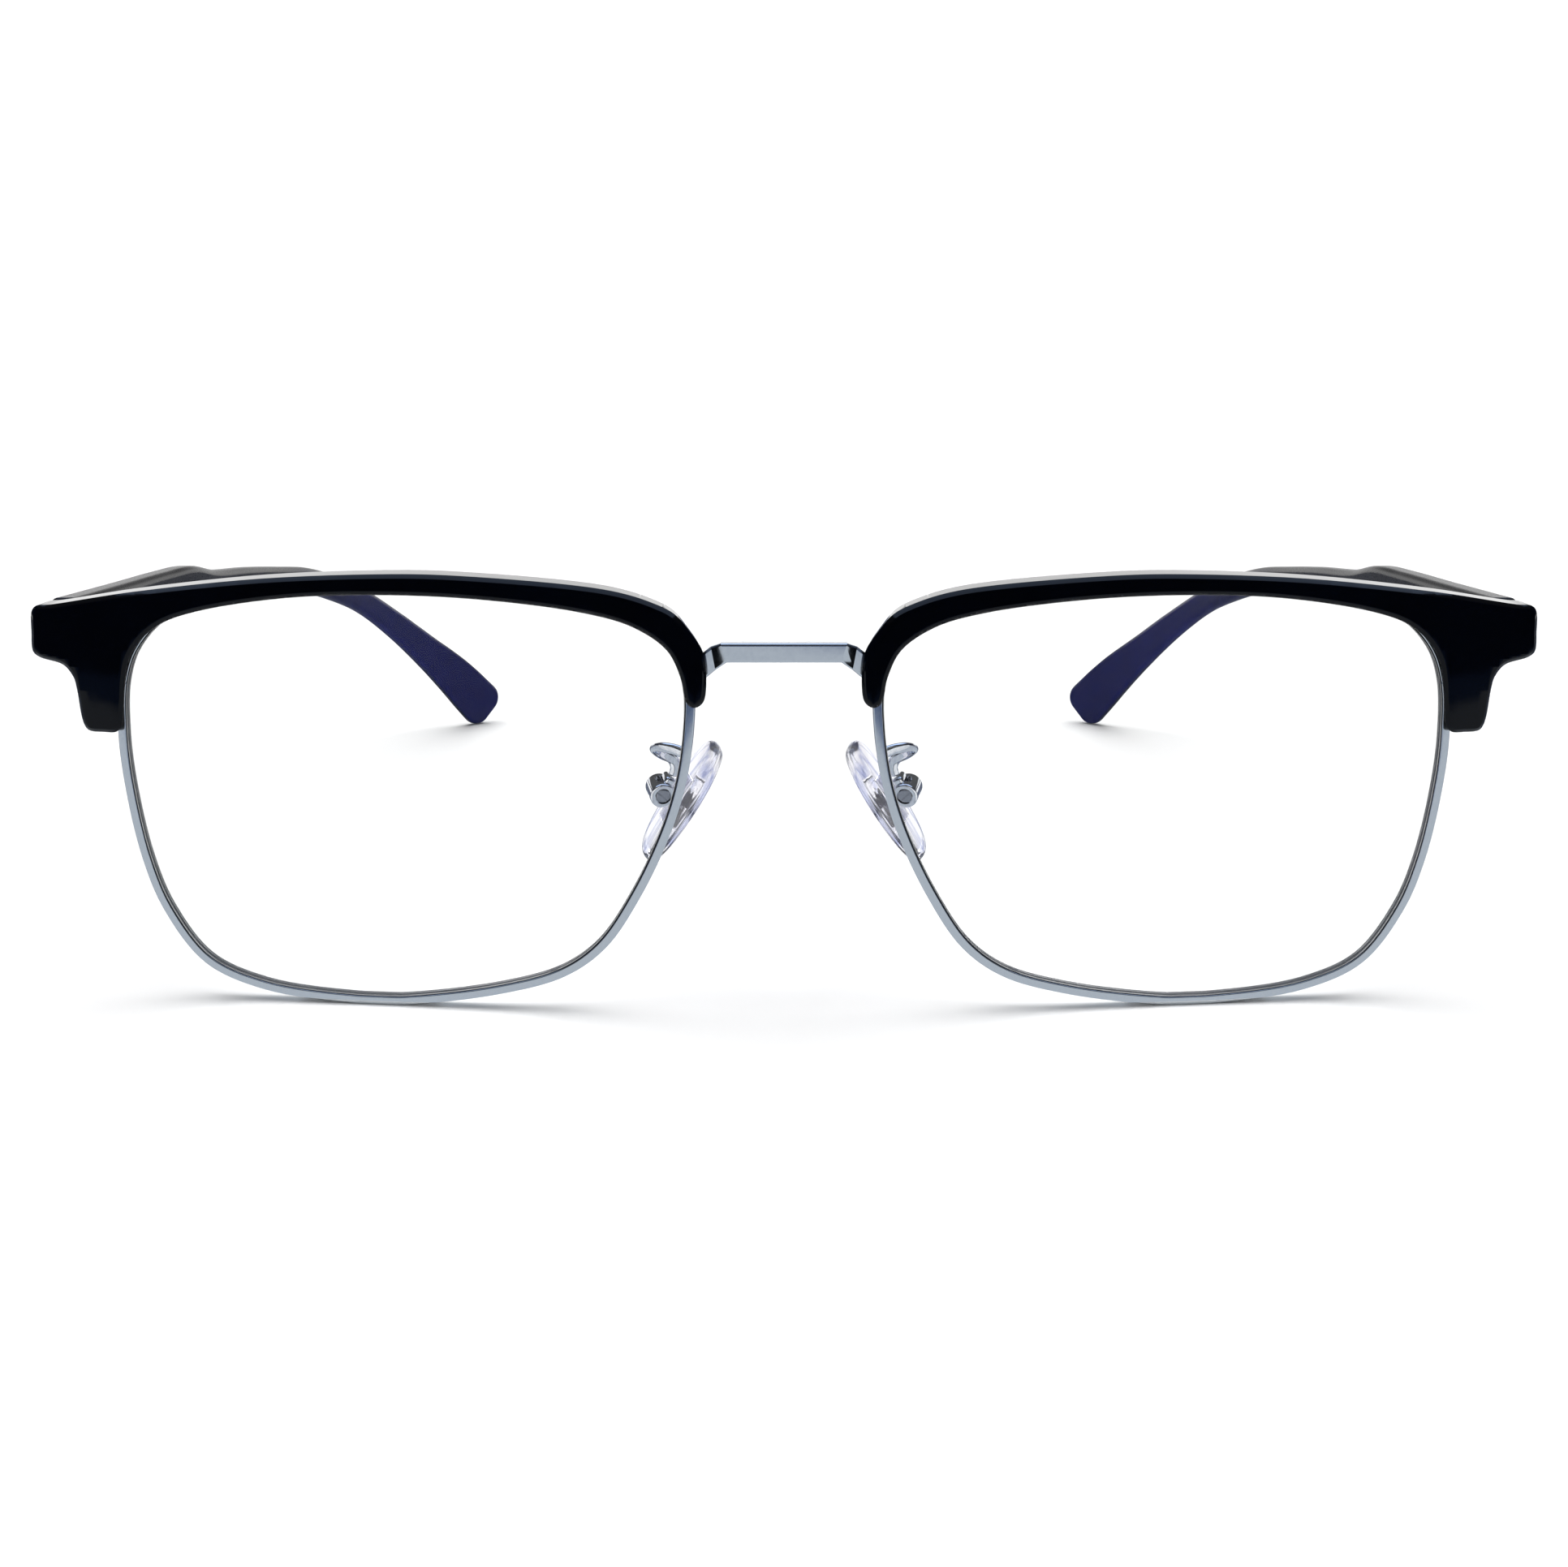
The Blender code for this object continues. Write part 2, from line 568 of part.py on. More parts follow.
def make_temple_hinge(name, side, axis):
    """The temple leaf: a plate on the temple's inner face, a sunk foot and the middle knuckle."""
    hinge = add(box(*TEMPLE_LEAF), f"temple_hinge_{name}", side, axis, "bright_chrome")
    half = INNER_KNUCKLE / 2
    centre = (HINGE_X, HINGE_Y, HINGE_Z)
    reach = TEMPLE_LEAF[0][1] - HINGE_Y + LEAF_OVERLAP
    shapes = {
        "temple_foot": box(*TEMPLE_FOOT),
        "temple_knuckle": tab(KNUCKLE_RADIUS, reach, -half, half, centre, Z_AXIS, Y_AXIS),
    }
    for what, shape in shapes.items():
        boolean(hinge, "UNION", add(shape, f"{what}_{name}", side, axis))
    bore = rod(BORE_RADIUS, -BORE_HALF_LENGTH, BORE_HALF_LENGTH, centre, Z_AXIS)
    boolean(hinge, "DIFFERENCE", add(bore, f"temple_bore_{name}", side, axis))


def temple_frames():
    """Each station's centre, its direction out of the temple's outer face and its up direction."""
    centres = [Vector((x, y, z)) for y, x, z, _, _ in TEMPLE_STATIONS]
    found = []
    for i, centre in enumerate(centres):
        ahead = centres[min(i + 1, len(centres) - 1)]
        behind = centres[max(i - 1, 0)]
        along = (ahead - behind).normalized() if i else Y_AXIS
        out = Vector((along.y, -along.x, 0)).normalized()
        found.append((centre, out, out.cross(along)))
    return found


def rounded_section(centre, out, up, height, thickness, corner):
    """A rectangle with cut corners, across the temple."""
    h = height / 2
    t = thickness / 2
    c = min(corner, CORNER_LIMIT * thickness)
    e = c * CORNER_CUT
    quarter = ((t, h - c), (t - e, h - e), (t - c, h))
    signs = ((1, 1), (-1, 1), (-1, -1), (1, -1))
    points = []
    for turn, (a, b) in enumerate(signs):
        corner_points = quarter if turn % 2 == 0 else quarter[::-1]
        points += [centre + out * (a * x) + up * (b * y) for x, y in corner_points]
    return points


def make_temple(name, side, axis):
    """The plastic temple with a channel for its core wire, and a pocket for the hinge's foot."""
    rings = []
    for (centre, out, up), (_, _, _, height, thickness) in zip(temple_frames(), TEMPLE_STATIONS):
        rings.append(rounded_section(centre, out, up, height, thickness, TEMPLE_CORNER))
    temple = add(skin(rings), f"temple_{name}", side, axis, "temple_navy")
    channel = core_shape(CORE_GAP, CHANNEL_START)
    boolean(temple, "DIFFERENCE", add(channel, f"core_channel_{name}", side, axis))
    pocket = box(*TEMPLE_FOOT, PRESS_GAP)
    boolean(temple, "DIFFERENCE", add(pocket, f"temple_pocket_{name}", side, axis))
    add(core_shape(0.0, CORE_START), f"temple_core_{name}", side, axis, "core_steel")


def core_shape(grow, start):
    """The core wire, or the channel round it, along the temple's centre line."""
    frames = temple_frames()[: CORE_LAST_STATION + 1]
    rings = []
    for i, (centre, out, up) in enumerate(frames):
        along = up.cross(out)
        if i == 0:
            centre = centre + along * start
        if i == CORE_LAST_STATION:
            centre = centre + along * grow
        size = (CORE_HEIGHT / 2 + grow, CORE_THICKNESS / 2 + grow)
        signs = ((1, 1), (1, -1), (-1, -1), (-1, 1))
        rings.append([centre + up * (a * size[0]) + out * (b * size[1]) for a, b in signs])
    return skin(rings)


def pad_axes():
    """The nose pad's directions: along its length, towards its rear edge, and away from the nose."""
    rear = (PAD_REAR - PAD_UP * PAD_REAR.dot(PAD_UP)).normalized()
    return PAD_UP, rear, rear.cross(PAD_UP)


def pad_pivot():
    """The centre of the pad box, on the screw's axis."""
    return PAD_CENTRE + pad_axes()[2] * PIVOT_OFFSET


def pad_box_shape(low, high):
    """A box between two corners given along the pad's rear, up and out directions, from its centre."""
    up, rear, out = pad_axes()
    bm = box(low, high)
    columns = Matrix((rear, up, out)).transposed().to_4x4()
    bm.transform(Matrix.Translation(PAD_CENTRE) @ columns)
    return bm


def pad_shape():
    """The soft pad: an oval cushion, thinner towards its ends."""
    up, rear, out = pad_axes()
    rings = []
    for i in range(PAD_RINGS):
        angle = math.pi * (i + PAD_END_SHARE) / (PAD_RINGS - 1 + 2 * PAD_END_SHARE)
        along = -math.cos(angle) * PAD_HALF_LENGTH
        width = math.sin(angle) ** PAD_WIDTH_POWER * PAD_HALF_WIDTH
        thick = math.sin(angle) ** PAD_THICKNESS_POWER * PAD_HALF_THICKNESS
        ring = []
        for k in range(PAD_SIDES):
            turn = 2 * math.pi * k / PAD_SIDES
            ring.append(
                PAD_CENTRE + up * along + rear * (math.cos(turn) * width) + out * (math.sin(turn) * thick)
            )
        rings.append(ring)
    return skin(rings)


def make_nose_pad(name, side, axis):
    """The pad and the core moulded into it, which rock on the screw."""
    pad = add(pad_shape(), f"nose_pad_{name}", side, axis, "pad_silicone")
    length, width, thick = CORE_PLATE
    gap = PRESS_GAP
    low = (-width - gap, -length - gap, CORE_PLATE_OUT - thick - gap)
    high = (width + gap, length + gap, CORE_PLATE_OUT + thick + gap)
    boolean(pad, "DIFFERENCE", add(pad_box_shape(low, high), f"core_pocket_{name}", side, axis))
    lug_low = (-LUG_HALF - gap, -LUG_RADIUS - gap, CORE_PLATE_OUT)
    lug_high = (LUG_HALF + gap, LUG_RADIUS + gap, PIVOT_OFFSET)
    boolean(pad, "DIFFERENCE", add(pad_box_shape(lug_low, lug_high), f"lug_slot_{name}", side, axis))
    low = (-width, -length, CORE_PLATE_OUT - thick)
    high = (width, length, CORE_PLATE_OUT + thick)
    core = add(pad_box_shape(low, high), f"pad_core_{name}", side, axis, "core_clear")
    _, rear, out = pad_axes()
    pivot = pad_pivot()
    lug = tab(LUG_RADIUS, PIVOT_OFFSET - CORE_PLATE_OUT, -LUG_HALF, LUG_HALF, pivot, rear, -out)
    boolean(core, "UNION", add(lug, f"lug_{name}", side, axis))
    bore = rod(PAD_BORE_RADIUS, -LUG_BORE_HALF, LUG_BORE_HALF, pivot, rear)
    boolean(core, "DIFFERENCE", add(bore, f"lug_bore_{name}", side, axis))


def make_pad_box(name, side, root):
    """The round pad box with a neck towards its arm, open towards the pad, and its sunk screw."""
    rear = pad_axes()[1]
    pivot = pad_pivot()
    box_shape = rod(BOX_RADIUS, -BOX_HALF_WIDTH, BOX_HALF_WIDTH, pivot, rear)
    made = add(box_shape, f"pad_box_{name}", side, root, "bright_chrome")
    boolean(made, "UNION", add(pad_box_shape(*NECK), f"box_neck_{name}", side, root))
    reach = PIVOT_OFFSET + LUG_RADIUS + LUG_SLACK
    slot = pad_box_shape((-SLOT_HALF, -SLOT_LOWER, 0.0), (SLOT_HALF, SLOT_UPPER, reach))
    boolean(made, "DIFFERENCE", add(slot, f"box_slot_{name}", side, root))
    sunk = BOX_HALF_WIDTH - PAD_HEAD_HEIGHT - PRESS_GAP
    profile = (
        (PAD_HEAD_RADIUS + PRESS_GAP, -BOX_BORE_HALF), (PAD_HEAD_RADIUS + PRESS_GAP, -sunk),
        (PAD_BORE_RADIUS, -sunk), (PAD_BORE_RADIUS, BOX_BORE_HALF),
    )
    bore = turned(profile, pivot, rear)
    boolean(made, "DIFFERENCE", add(bore, f"box_bore_{name}", side, root))
    head = sunk + PRESS_GAP / 2
    profile = (
        (PAD_HEAD_RADIUS, -head - PAD_HEAD_HEIGHT), (PAD_HEAD_RADIUS, -head),
        (PAD_SCREW_RADIUS, -head), (PAD_SCREW_RADIUS, BOX_HALF_WIDTH),
    )
    add(turned(profile, pivot, rear, SCREW_SIDES), f"pad_screw_{name}", side, root, "bright_chrome")


def make_pad_arm(name, side, root):
    """The looped wire from the eye wire's back to the pad box, flattened along its loop."""
    points = smooth_path(ARM_POINTS, ARM_STEPS)
    rings = []
    for i, point in enumerate(points):
        along = (points[min(i + 1, len(points) - 1)] - points[max(i - 1, 0)]).normalized()
        wide = along.cross(ARM_FLAT_WAY).normalized()
        thin = along.cross(wide)
        angles = [2 * math.pi * k / WIRE_SIDES for k in range(WIRE_SIDES)]
        rings.append(
            [
                point + wide * (math.cos(a) * ARM_RADIUS_WIDE) + thin * (math.sin(a) * ARM_RADIUS_THIN)
                for a in angles
            ]
        )
    add(skin(rings), f"pad_arm_{name}", side, root, "bright_chrome")


def make_side(name, side, root):
    """Every piece of one side, with the empties that mark its two joint axes."""
    fold_axis = empty(f"fold_axis_{name}", (side * HINGE_X, HINGE_Y, HINGE_Z), root)
    pivot = pad_pivot()
    rock_axis = empty(f"rock_axis_{name}", (side * pivot.x, pivot.y, pivot.z), root)
    add(rim_shape(), f"rim_{name}", side, root, "wire_silver")
    add(lens_shape(), f"lens_{name}", side, root, "lens_clear")
    make_brow(name, side, root)
    make_rim_lock(name, side, root)
    make_pad_arm(name, side, root)
    make_pad_box(name, side, root)
    make_nose_pad(name, side, rock_axis)
    make_front_hinge(name, side, root)
    make_hinge_screw(name, side, root)
    make_temple_hinge(name, side, fold_axis)
    make_temple(name, side, fold_axis)


def main():
    clear_scene()
    root = empty("glasses", (0, FRONT_Y, 0))
    make_bridge(root)
    for name, side in SIDES.items():
        make_side(name, side, root)


main()
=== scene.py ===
"""Half rim (browline) eyeglasses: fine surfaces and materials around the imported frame.

Metres, +Z up. Every piece is built in the design frame, where y = 0 lies at the lens centres, and is moved
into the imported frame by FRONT_Y. One side is built at +X, the wearer's left, and mirrored for the other.
"""

import math

import bmesh
import bpy
from mathutils import Matrix, Vector
from mathutils.geometry import normal, tessellate_polygon


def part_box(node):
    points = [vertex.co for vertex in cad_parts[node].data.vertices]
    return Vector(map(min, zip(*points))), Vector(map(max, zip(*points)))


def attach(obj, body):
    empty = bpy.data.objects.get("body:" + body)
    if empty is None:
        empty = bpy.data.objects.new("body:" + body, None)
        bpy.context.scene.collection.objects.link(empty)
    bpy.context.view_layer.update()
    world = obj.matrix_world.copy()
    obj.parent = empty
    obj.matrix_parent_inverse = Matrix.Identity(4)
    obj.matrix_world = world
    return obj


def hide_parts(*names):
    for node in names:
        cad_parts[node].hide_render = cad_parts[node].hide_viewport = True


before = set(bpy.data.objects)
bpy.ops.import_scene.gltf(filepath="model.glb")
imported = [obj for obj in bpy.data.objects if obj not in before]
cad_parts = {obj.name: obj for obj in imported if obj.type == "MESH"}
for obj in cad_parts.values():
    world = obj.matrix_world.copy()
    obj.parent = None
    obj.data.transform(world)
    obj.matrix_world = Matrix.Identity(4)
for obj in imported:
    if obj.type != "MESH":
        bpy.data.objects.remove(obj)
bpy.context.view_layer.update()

SIDES = {"left": 1, "right": -1}
QUARTER_TURN = math.pi / 2
X_AXIS = Vector((1, 0, 0))
Y_AXIS = Vector((0, 1, 0))
Z_AXIS = Vector((0, 0, 1))
GAP = 0.00010
ROUND_STEPS = 4
EDGE_SEGMENTS = 2
EDGE_ANGLE = math.radians(40)

# The curved front: a sphere for each eye, wrapped back towards the temples.
EYE_X = 0.036
EYE_Z = 0.0195
LENS_RADIUS = 0.130
WRAP = math.radians(5)

# Eye wire (rim), from its outer contour inwards, and the lens in its groove.
RIM_WIDTH = 0.00085
RIM_DEPTH = 0.0017
RIM_EDGE = 0.00014
RIM_STEPS = 8
RIM_SHARP = 50
GROOVE_HALF = 0.00042
GROOVE_DEPTH = 0.00040
LENS_THICKNESS = 0.0016
LENS_GAP = 0.00008
LENS_SHARES = (0.1, 0.2, 0.3, 0.4, 0.5, 0.6, 0.7, 0.8, 0.9, 0.996, 1.0)
LENS_BEVEL_SHARE = 0.8
SPLIT_HALF = 0.00012
RIM_ANCHORS = (
    (0.0625, 0.0307), (0.0613, 0.0340), (0.0585, 0.0370), (0.0540, 0.0388), (0.0480, 0.0397),
    (0.0400, 0.0403), (0.0320, 0.0403), (0.0240, 0.0399), (0.0170, 0.0390), (0.0122, 0.0373),
    (0.0093, 0.0345), (0.0083, 0.0310), (0.0083, 0.0271), (0.0090, 0.0222), (0.0105, 0.0173),
    (0.0134, 0.0111), (0.0168, 0.0060), (0.0206, 0.0032), (0.0266, 0.0014), (0.0366, 0.0000),
    (0.0404, 0.0000), (0.0500, 0.0010), (0.0557, 0.0034), (0.0594, 0.0085), (0.0612, 0.0136),
    (0.0625, 0.0212), (0.0628, 0.0260),
)

# Brow bar: a front wall, a groove for the eye wire and a rear wall.
BROW_FRONT = -0.00195
BROW_REAR = 0.00165
REAR_TAPER = 0.0007
REAR_INSET = 0.0002
REAR_NASAL_TAPER = 0.0003
FRONT_EDGE = 0.00042
FRONT_PROFILE = ((1.0, 0.0), (0.90, 0.02), (0.82, 0.07), (0.07, 0.82), (0.02, 0.90), (0.0, 1.0))
REAR_EDGE = 0.00015
BROW_GROOVE_HALF = 0.00095
GROOVE_CUT_WIDTH = 0.0030
BROW_STEPS = 6
REAR_EDGE_STEPS = 5
BROW_SHARP = 28
BLOCK_EDGE = 0.0003
BROW_SPAN_X = (0.007, 0.071)
BROW_SPAN_Z = (0.026, 0.042)
GRID = 0.001
GRID_SHIFT = 0.137
CUT_TOLERANCE = 1e-7
BROW_ANCHORS = (
    (0.0089, 0.0295), (0.0082, 0.0291), (0.0074, 0.0296), (0.0071, 0.0318), (0.0074, 0.0342),
    (0.0085, 0.0360), (0.0100, 0.0377), (0.0122, 0.0388), (0.0151, 0.0397), (0.0195, 0.0404),
    (0.0297, 0.0412), (0.0357, 0.0413), (0.0478, 0.0407), (0.0606, 0.0391), (0.0690, 0.0376),
    (0.0706, 0.0374), (0.0711, 0.0369), (0.0712, 0.0349), (0.0711, 0.0331), (0.0704, 0.0326),
    (0.0679, 0.0320), (0.0669, 0.0309), (0.0666, 0.0298), (0.0661, 0.0267), (0.0656, 0.0260),
    (0.0640, 0.0259), (0.0627, 0.0260), (0.0621, 0.0266), (0.0618, 0.0285), (0.0616, 0.0306),
    (0.0611, 0.0328), (0.0600, 0.0345), (0.0579, 0.0362), (0.0543, 0.0375), (0.0454, 0.0390),
    (0.0357, 0.0394), (0.0268, 0.0390), (0.0180, 0.0378), (0.0137, 0.0365), (0.0107, 0.0344),
    (0.0095, 0.0320),
)

# Bridge bar between the two eye wires: (x, y, z, half height, lean) along the half at +X.
BRIDGE_HALF_DEPTH = 0.0008
BRIDGE_EDGE = 0.00028
BRIDGE_BEND_EDGE = 0.00005
BRIDGE_SHARP = 20
BRIDGE_STATIONS = (
    (0.0055, 0.0003, 0.03415, 0.0009, 0.00025),
    (0.0065, 0.0012, 0.03350, 0.0011, 0.00020),
    (0.0081, 0.0013, 0.03220, 0.0013, 0.0),
)
BRIDGE_NOTCH = ((0.0060, 0.0003, 0.0307), (0.0086, 0.0023, 0.0345))

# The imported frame's place along Y, read from the bridge's flat front face.
FRONT_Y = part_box("bridge")[0].y + BRIDGE_HALF_DEPTH - BRIDGE_STATIONS[0][1]

# Rim lock: two blocks on the ends of the split eye wire, closed by a screw.
LOCK_LOWER = ((0.0630, 0.0287), (0.0651, 0.0287), (0.0651, 0.0305), (0.0629, 0.0305))
LOCK_UPPER = ((0.0628, 0.0309), (0.0651, 0.0309), (0.0651, 0.0327), (0.0623, 0.0327))
LOCK_POCKET = ((0.0618, 0.0285), (0.0653, 0.0285), (0.0653, 0.0329), (0.0610, 0.0329))
LOCK_HALF_DEPTH = 0.00078
LOCK_POCKET_HALF = 0.00088
LOCK_X = 0.0641
LOCK_SCREW_RADIUS = 0.00045
LOCK_HEAD_RADIUS = 0.00065
LOCK_HEAD_HEIGHT = 0.00035
LOCK_ACCESS_FOOT = 0.0255
LOCK_ACCESS_HEIGHT = 0.004
LOCK_BORE_EXTRA = 0.001
LOCK_TIP_INSET = 0.0002
LOCK_EDGE = 0.00008

# Slotted screws: their proportions to the head's height and radius.
SCREW_EDGE_SHARE = 0.35
SCREW_TIP_SHARE = 0.5
SCREW_SEAT_SHARE = 0.4
SCREW_SLOT_SHARE = 0.16
SCREW_SLOT_FOOT = 0.5
SCREW_SLOT_REACH = 2
SCREW_SIDES = 40
SCREW_EDGE = 0.00002

# Temple hinge: a vertical axis just inside the temple, at the butt joint.
BUTT_Y = 0.0120
BUTT_GAP = 0.00015
HINGE = Vector((0.0667, 0.0125, 0.0350))
KNUCKLE_RADIUS = 0.00115
BORE_RADIUS = 0.00065
PIN_RADIUS = 0.00055
PIN_HEAD_RADIUS = 0.00095
PIN_HEAD_HEIGHT = 0.00040
OUTER_KNUCKLE = 0.0011
INNER_KNUCKLE = 0.0015
KNUCKLE_GAP = 0.00015
LEAF_OVERLAP = 0.0004
BORE_HALF_LENGTH = 0.004
HINGE_EDGE = 0.0001
FRONT_LEAF = ((0.0646, 0.0099, 0.0330), (0.0678, 0.0107, 0.0370))
FRONT_FOOT = ((0.0650, 0.0066, 0.0336), (0.0674, 0.0102, 0.0366))
TEMPLE_LEAF = ((0.0669, 0.0139, 0.0331), (0.0676, 0.0205, 0.0369))
TEMPLE_FOOT = ((0.0674, 0.0150, 0.0340), (0.0684, 0.0195, 0.0360))
END_BLOCK = ((0.0682, 0.0078, 0.03305), (0.0708, BUTT_Y - BUTT_GAP, 0.0371))

# Temple: (y, centre x, centre z, height, thickness) from the butt joint to the tip.
TEMPLE_STATIONS = (
    (0.0120, 0.06945, 0.0350, 0.0050, 0.0029),
    (0.0280, 0.06890, 0.0344, 0.0050, 0.0028),
    (0.0400, 0.06840, 0.0340, 0.0050, 0.0028),
    (0.0480, 0.06790, 0.0337, 0.0048, 0.0027),
    (0.0560, 0.06750, 0.0327, 0.0039, 0.0024),
    (0.0700, 0.06690, 0.0313, 0.0038, 0.0022),
    (0.0840, 0.06610, 0.0297, 0.0036, 0.0021),
    (0.0950, 0.06500, 0.0282, 0.0035, 0.0020),
    (0.1050, 0.06340, 0.0258, 0.0035, 0.0020),
    (0.1140, 0.06120, 0.0226, 0.0035, 0.0020),
    (0.1220, 0.05830, 0.0181, 0.0040, 0.0020),
    (0.1290, 0.05490, 0.0129, 0.0050, 0.0020),
    (0.1340, 0.05140, 0.0080, 0.0063, 0.0020),
    (0.1372, 0.04800, 0.0032, 0.0070, 0.0019),
)
TEMPLE_CORNER = 0.00080
NAVY_START = 0.085
NAVY_REACH = 0.035
NAVY_LOWER = 0.9
NAVY_SHARPNESS = 1.8
TEMPLE_CORNER_LIMIT = 0.42
TEMPLE_CORNER_STEPS = 6
TEMPLE_STEPS = 6
TEMPLE_SHARP = 35
BUTT_EDGE = 0.00015
TIP_ROUND = 0.0024
TIP_STEPS = 8
TIP_THINNING = 0.7
CORE_HEIGHT = 0.0014
CORE_THICKNESS = 0.0007
CORE_LAST_STATION = 11
CHANNEL_START = -0.001
CORE_EDGE = 0.00012

# Nose pad, its core and the box that holds it; the pad rocks on the screw.
PAD_CENTRE = Vector((0.0099, 0.0085, 0.0182))
PAD_UP = Vector((-0.54, -0.05, 0.84)).normalized()
PAD_REAR = Vector((0.37, 0.93, 0.0))
PAD_HALF_LENGTH = 0.0066
PAD_HALF_WIDTH = 0.0034
PAD_HALF_THICKNESS = 0.00105
PAD_WIDTH_POWER = 0.6
PAD_THICKNESS_POWER = 0.55
PAD_ACROSS_POWER = 0.85
PAD_RISE_POWER = 0.75
PAD_DISH = 0.16
PAD_STEPS = 40
PAD_SIDES = 96
PAD_END_SHARE = 0.25
PAD_SHARP = 45
PAD_GROOVES = ((-0.55, 0.05), (0.0, 0.05), (0.5, 0.04))
PAD_GROOVE_WIDTH = 0.13
PAD_TINT = (0.93, 0.925, 0.965)
# Painted shade in the clear pad: thin dark streaks that stand in for the dark lines that light bent through
# its moulded shape shows.
PAD_PAINTED_STREAK = (0.30, 0.34, 0.58)
PAD_PAINTED_STREAK_WIDTH = 0.055
PIVOT_OFFSET = 0.0025
BOX_RADIUS = 0.00125
BOX_HALF_WIDTH = 0.0014
SLOT_HALF = 0.00065
SLOT_UPPER = 0.0012
SLOT_LOWER = 0.0020
NECK = ((-0.0009, 0.0007, 0.0019), (0.0009, 0.0018, 0.0030))
LUG_HALF = 0.0005
LUG_RADIUS = 0.0008
CORE_PLATE = (0.0026, 0.0011, 0.00025)
CORE_PLATE_OUT = 0.0003
CORE_PLATE_EDGE = 0.0002
CORE_POCKET_EDGE = 0.00024
LUG_BORE_HALF = 0.002
BOX_BORE_HALF = 0.003
BOX_EDGE = 0.0002
NECK_EDGE = 0.0003
LUG_SLACK = 0.0002
PAD_METAL_EDGE = 0.00006
PAD_SCREW_RADIUS = 0.0004
PAD_BORE_RADIUS = 0.0005
PAD_HEAD_RADIUS = 0.0007
PAD_HEAD_HEIGHT = 0.0003
ARM_RADIUS_WIDE = 0.00055
ARM_RADIUS_THIN = 0.00038
ARM_FLAT_WAY = Vector((0.3, 1, 0.2))
ARM_STEPS = 8
ARM_SHARP = 60
ARM_POINTS = (
    (0.0091, 0.0018, 0.0243), (0.0102, 0.0024, 0.0246), (0.0115, 0.0034, 0.0246), (0.0122, 0.0049, 0.0242),
    (0.0117, 0.0063, 0.0234), (0.0107, 0.0070, 0.0227), (0.0104, 0.0072, 0.0219), (0.0106, 0.0073, 0.0210),
)

# Looks: pairs of colours that noise goes between. The metals have roughness, grain and relief in microns too.
MICRON = 0.000001
NOISE_MIDDLE = (0.3, 0.7)
WEAR_SHARE = 0.3
BROW_BLACK = ((0.0002, 0.0004, 0.0014), (0.0003, 0.0007, 0.0024))
TEMPLE_BLACK = ((0.0030, 0.0030, 0.0045), (0.0055, 0.0053, 0.0070))
TEMPLE_NAVY = ((0.0040, 0.0060, 0.0680), (0.0065, 0.0090, 0.0820))
LENS_INDEX = 1.18
LENS_CLEAR = ((0.980, 0.990, 0.990), (0.995, 0.995, 0.990))
LENS_GROUND = ((0.10, 0.105, 0.115), (0.14, 0.145, 0.155))
CORE_TINT = (0.86, 0.89, 0.97)
METALS = {
    "rim_metal": ((0.60, 0.63, 0.66), (0.62, 0.65, 0.68), (0.12, 0.18), 9000, 0.3),
    "pad_metal": ((0.54, 0.56, 0.61), (0.66, 0.68, 0.72), (0.04, 0.08), 7000, 0.3),
    "hinge_metal": ((0.66, 0.67, 0.69), (0.74, 0.75, 0.77), (0.14, 0.22), 8000, 1),
    "screw_steel": ((0.20, 0.21, 0.24), (0.32, 0.33, 0.37), (0.16, 0.24), 12000, 1),
    "core_wire": ((0.44, 0.45, 0.47), (0.55, 0.56, 0.58), (0.28, 0.38), 9000, 1),
}

# Camera and studio.
CAMERA_PLACE = (0.0, -0.26024, 0.06585)
CAMERA_PITCH = math.radians(13)
CAMERA_LENS = 48.45
SENSOR = 36.0
CLIP_START = 0.01
SUN_POWER = 3.7
SUN_WIDTH = math.radians(70)
SUN_TILT = math.radians(-22)
WORLD_FADE = (0.19, 0.29)
WORLD_STRENGTH = (1.28, 0.10)
CARDS = (
    ("near_card", (3.0, 0.30), (0, -0.18, 0.0004), (0, 0, 0), (0.62, 0.67, 0.73)),
    ("far_card", (3.0, 0.57), (0, -0.615, 0.0004), (0, 0, 0), (0.10, 0.16, 0.32)),
    ("front_flag", (3.0, 0.6), (0, -0.905, 0.30), (QUARTER_TURN, 0, 0), (0.020, 0.025, 0.040)),
    ("rear_card", (1.0, 0.42), (0, 0.18, 0.0004), (0, 0, 0), (0.16, 0.18, 0.24)),
    ("left_flag", (0.5, 0.8), (0.62, 0.0, 0.27), (0, QUARTER_TURN, 0), (0.020, 0.025, 0.050)),
    ("right_flag", (0.5, 0.8), (-0.62, 0.0, 0.27), (0, QUARTER_TURN, 0), (0.020, 0.025, 0.050)),
    ("sky_card", (1.4, 0.9), (0, 0.05, 0.80), (0, 0, 0), (1.1, 1.4, 2.0)),
)


# ---------------------------------------------------------------- curves and outlines


def face_depth(x, z):
    """How far the curved front lies behind the front plane at (x, z)."""
    across = abs(x) - EYE_X
    up = z - EYE_Z
    return math.tan(WRAP) * across + (across * across + up * up) / (2 * LENS_RADIUS)


def on_front(x, z, depth):
    """A point that lies this deep behind the curved front."""
    return Vector((x, face_depth(x, z) + depth, z))


def between(a, b, ta, tb, t):
    """The point at t on the straight line that passes a at ta and b at tb."""
    return a.lerp(b, (t - ta) / (tb - ta))


def curve_point(p, share):
    """A point between p[1] and p[2] on the centripetal Catmull-Rom curve through four points."""
    t = [0.0]
    for a, b in zip(p, p[1:]):
        t.append(t[-1] + math.sqrt((b - a).length))
    at = t[1] + share * (t[2] - t[1])
    first = [between(p[i], p[i + 1], t[i], t[i + 1], at) for i in range(3)]
    second = [between(first[i], first[i + 1], t[i], t[i + 2], at) for i in range(2)]
    return between(second[0], second[1], t[1], t[2], at)


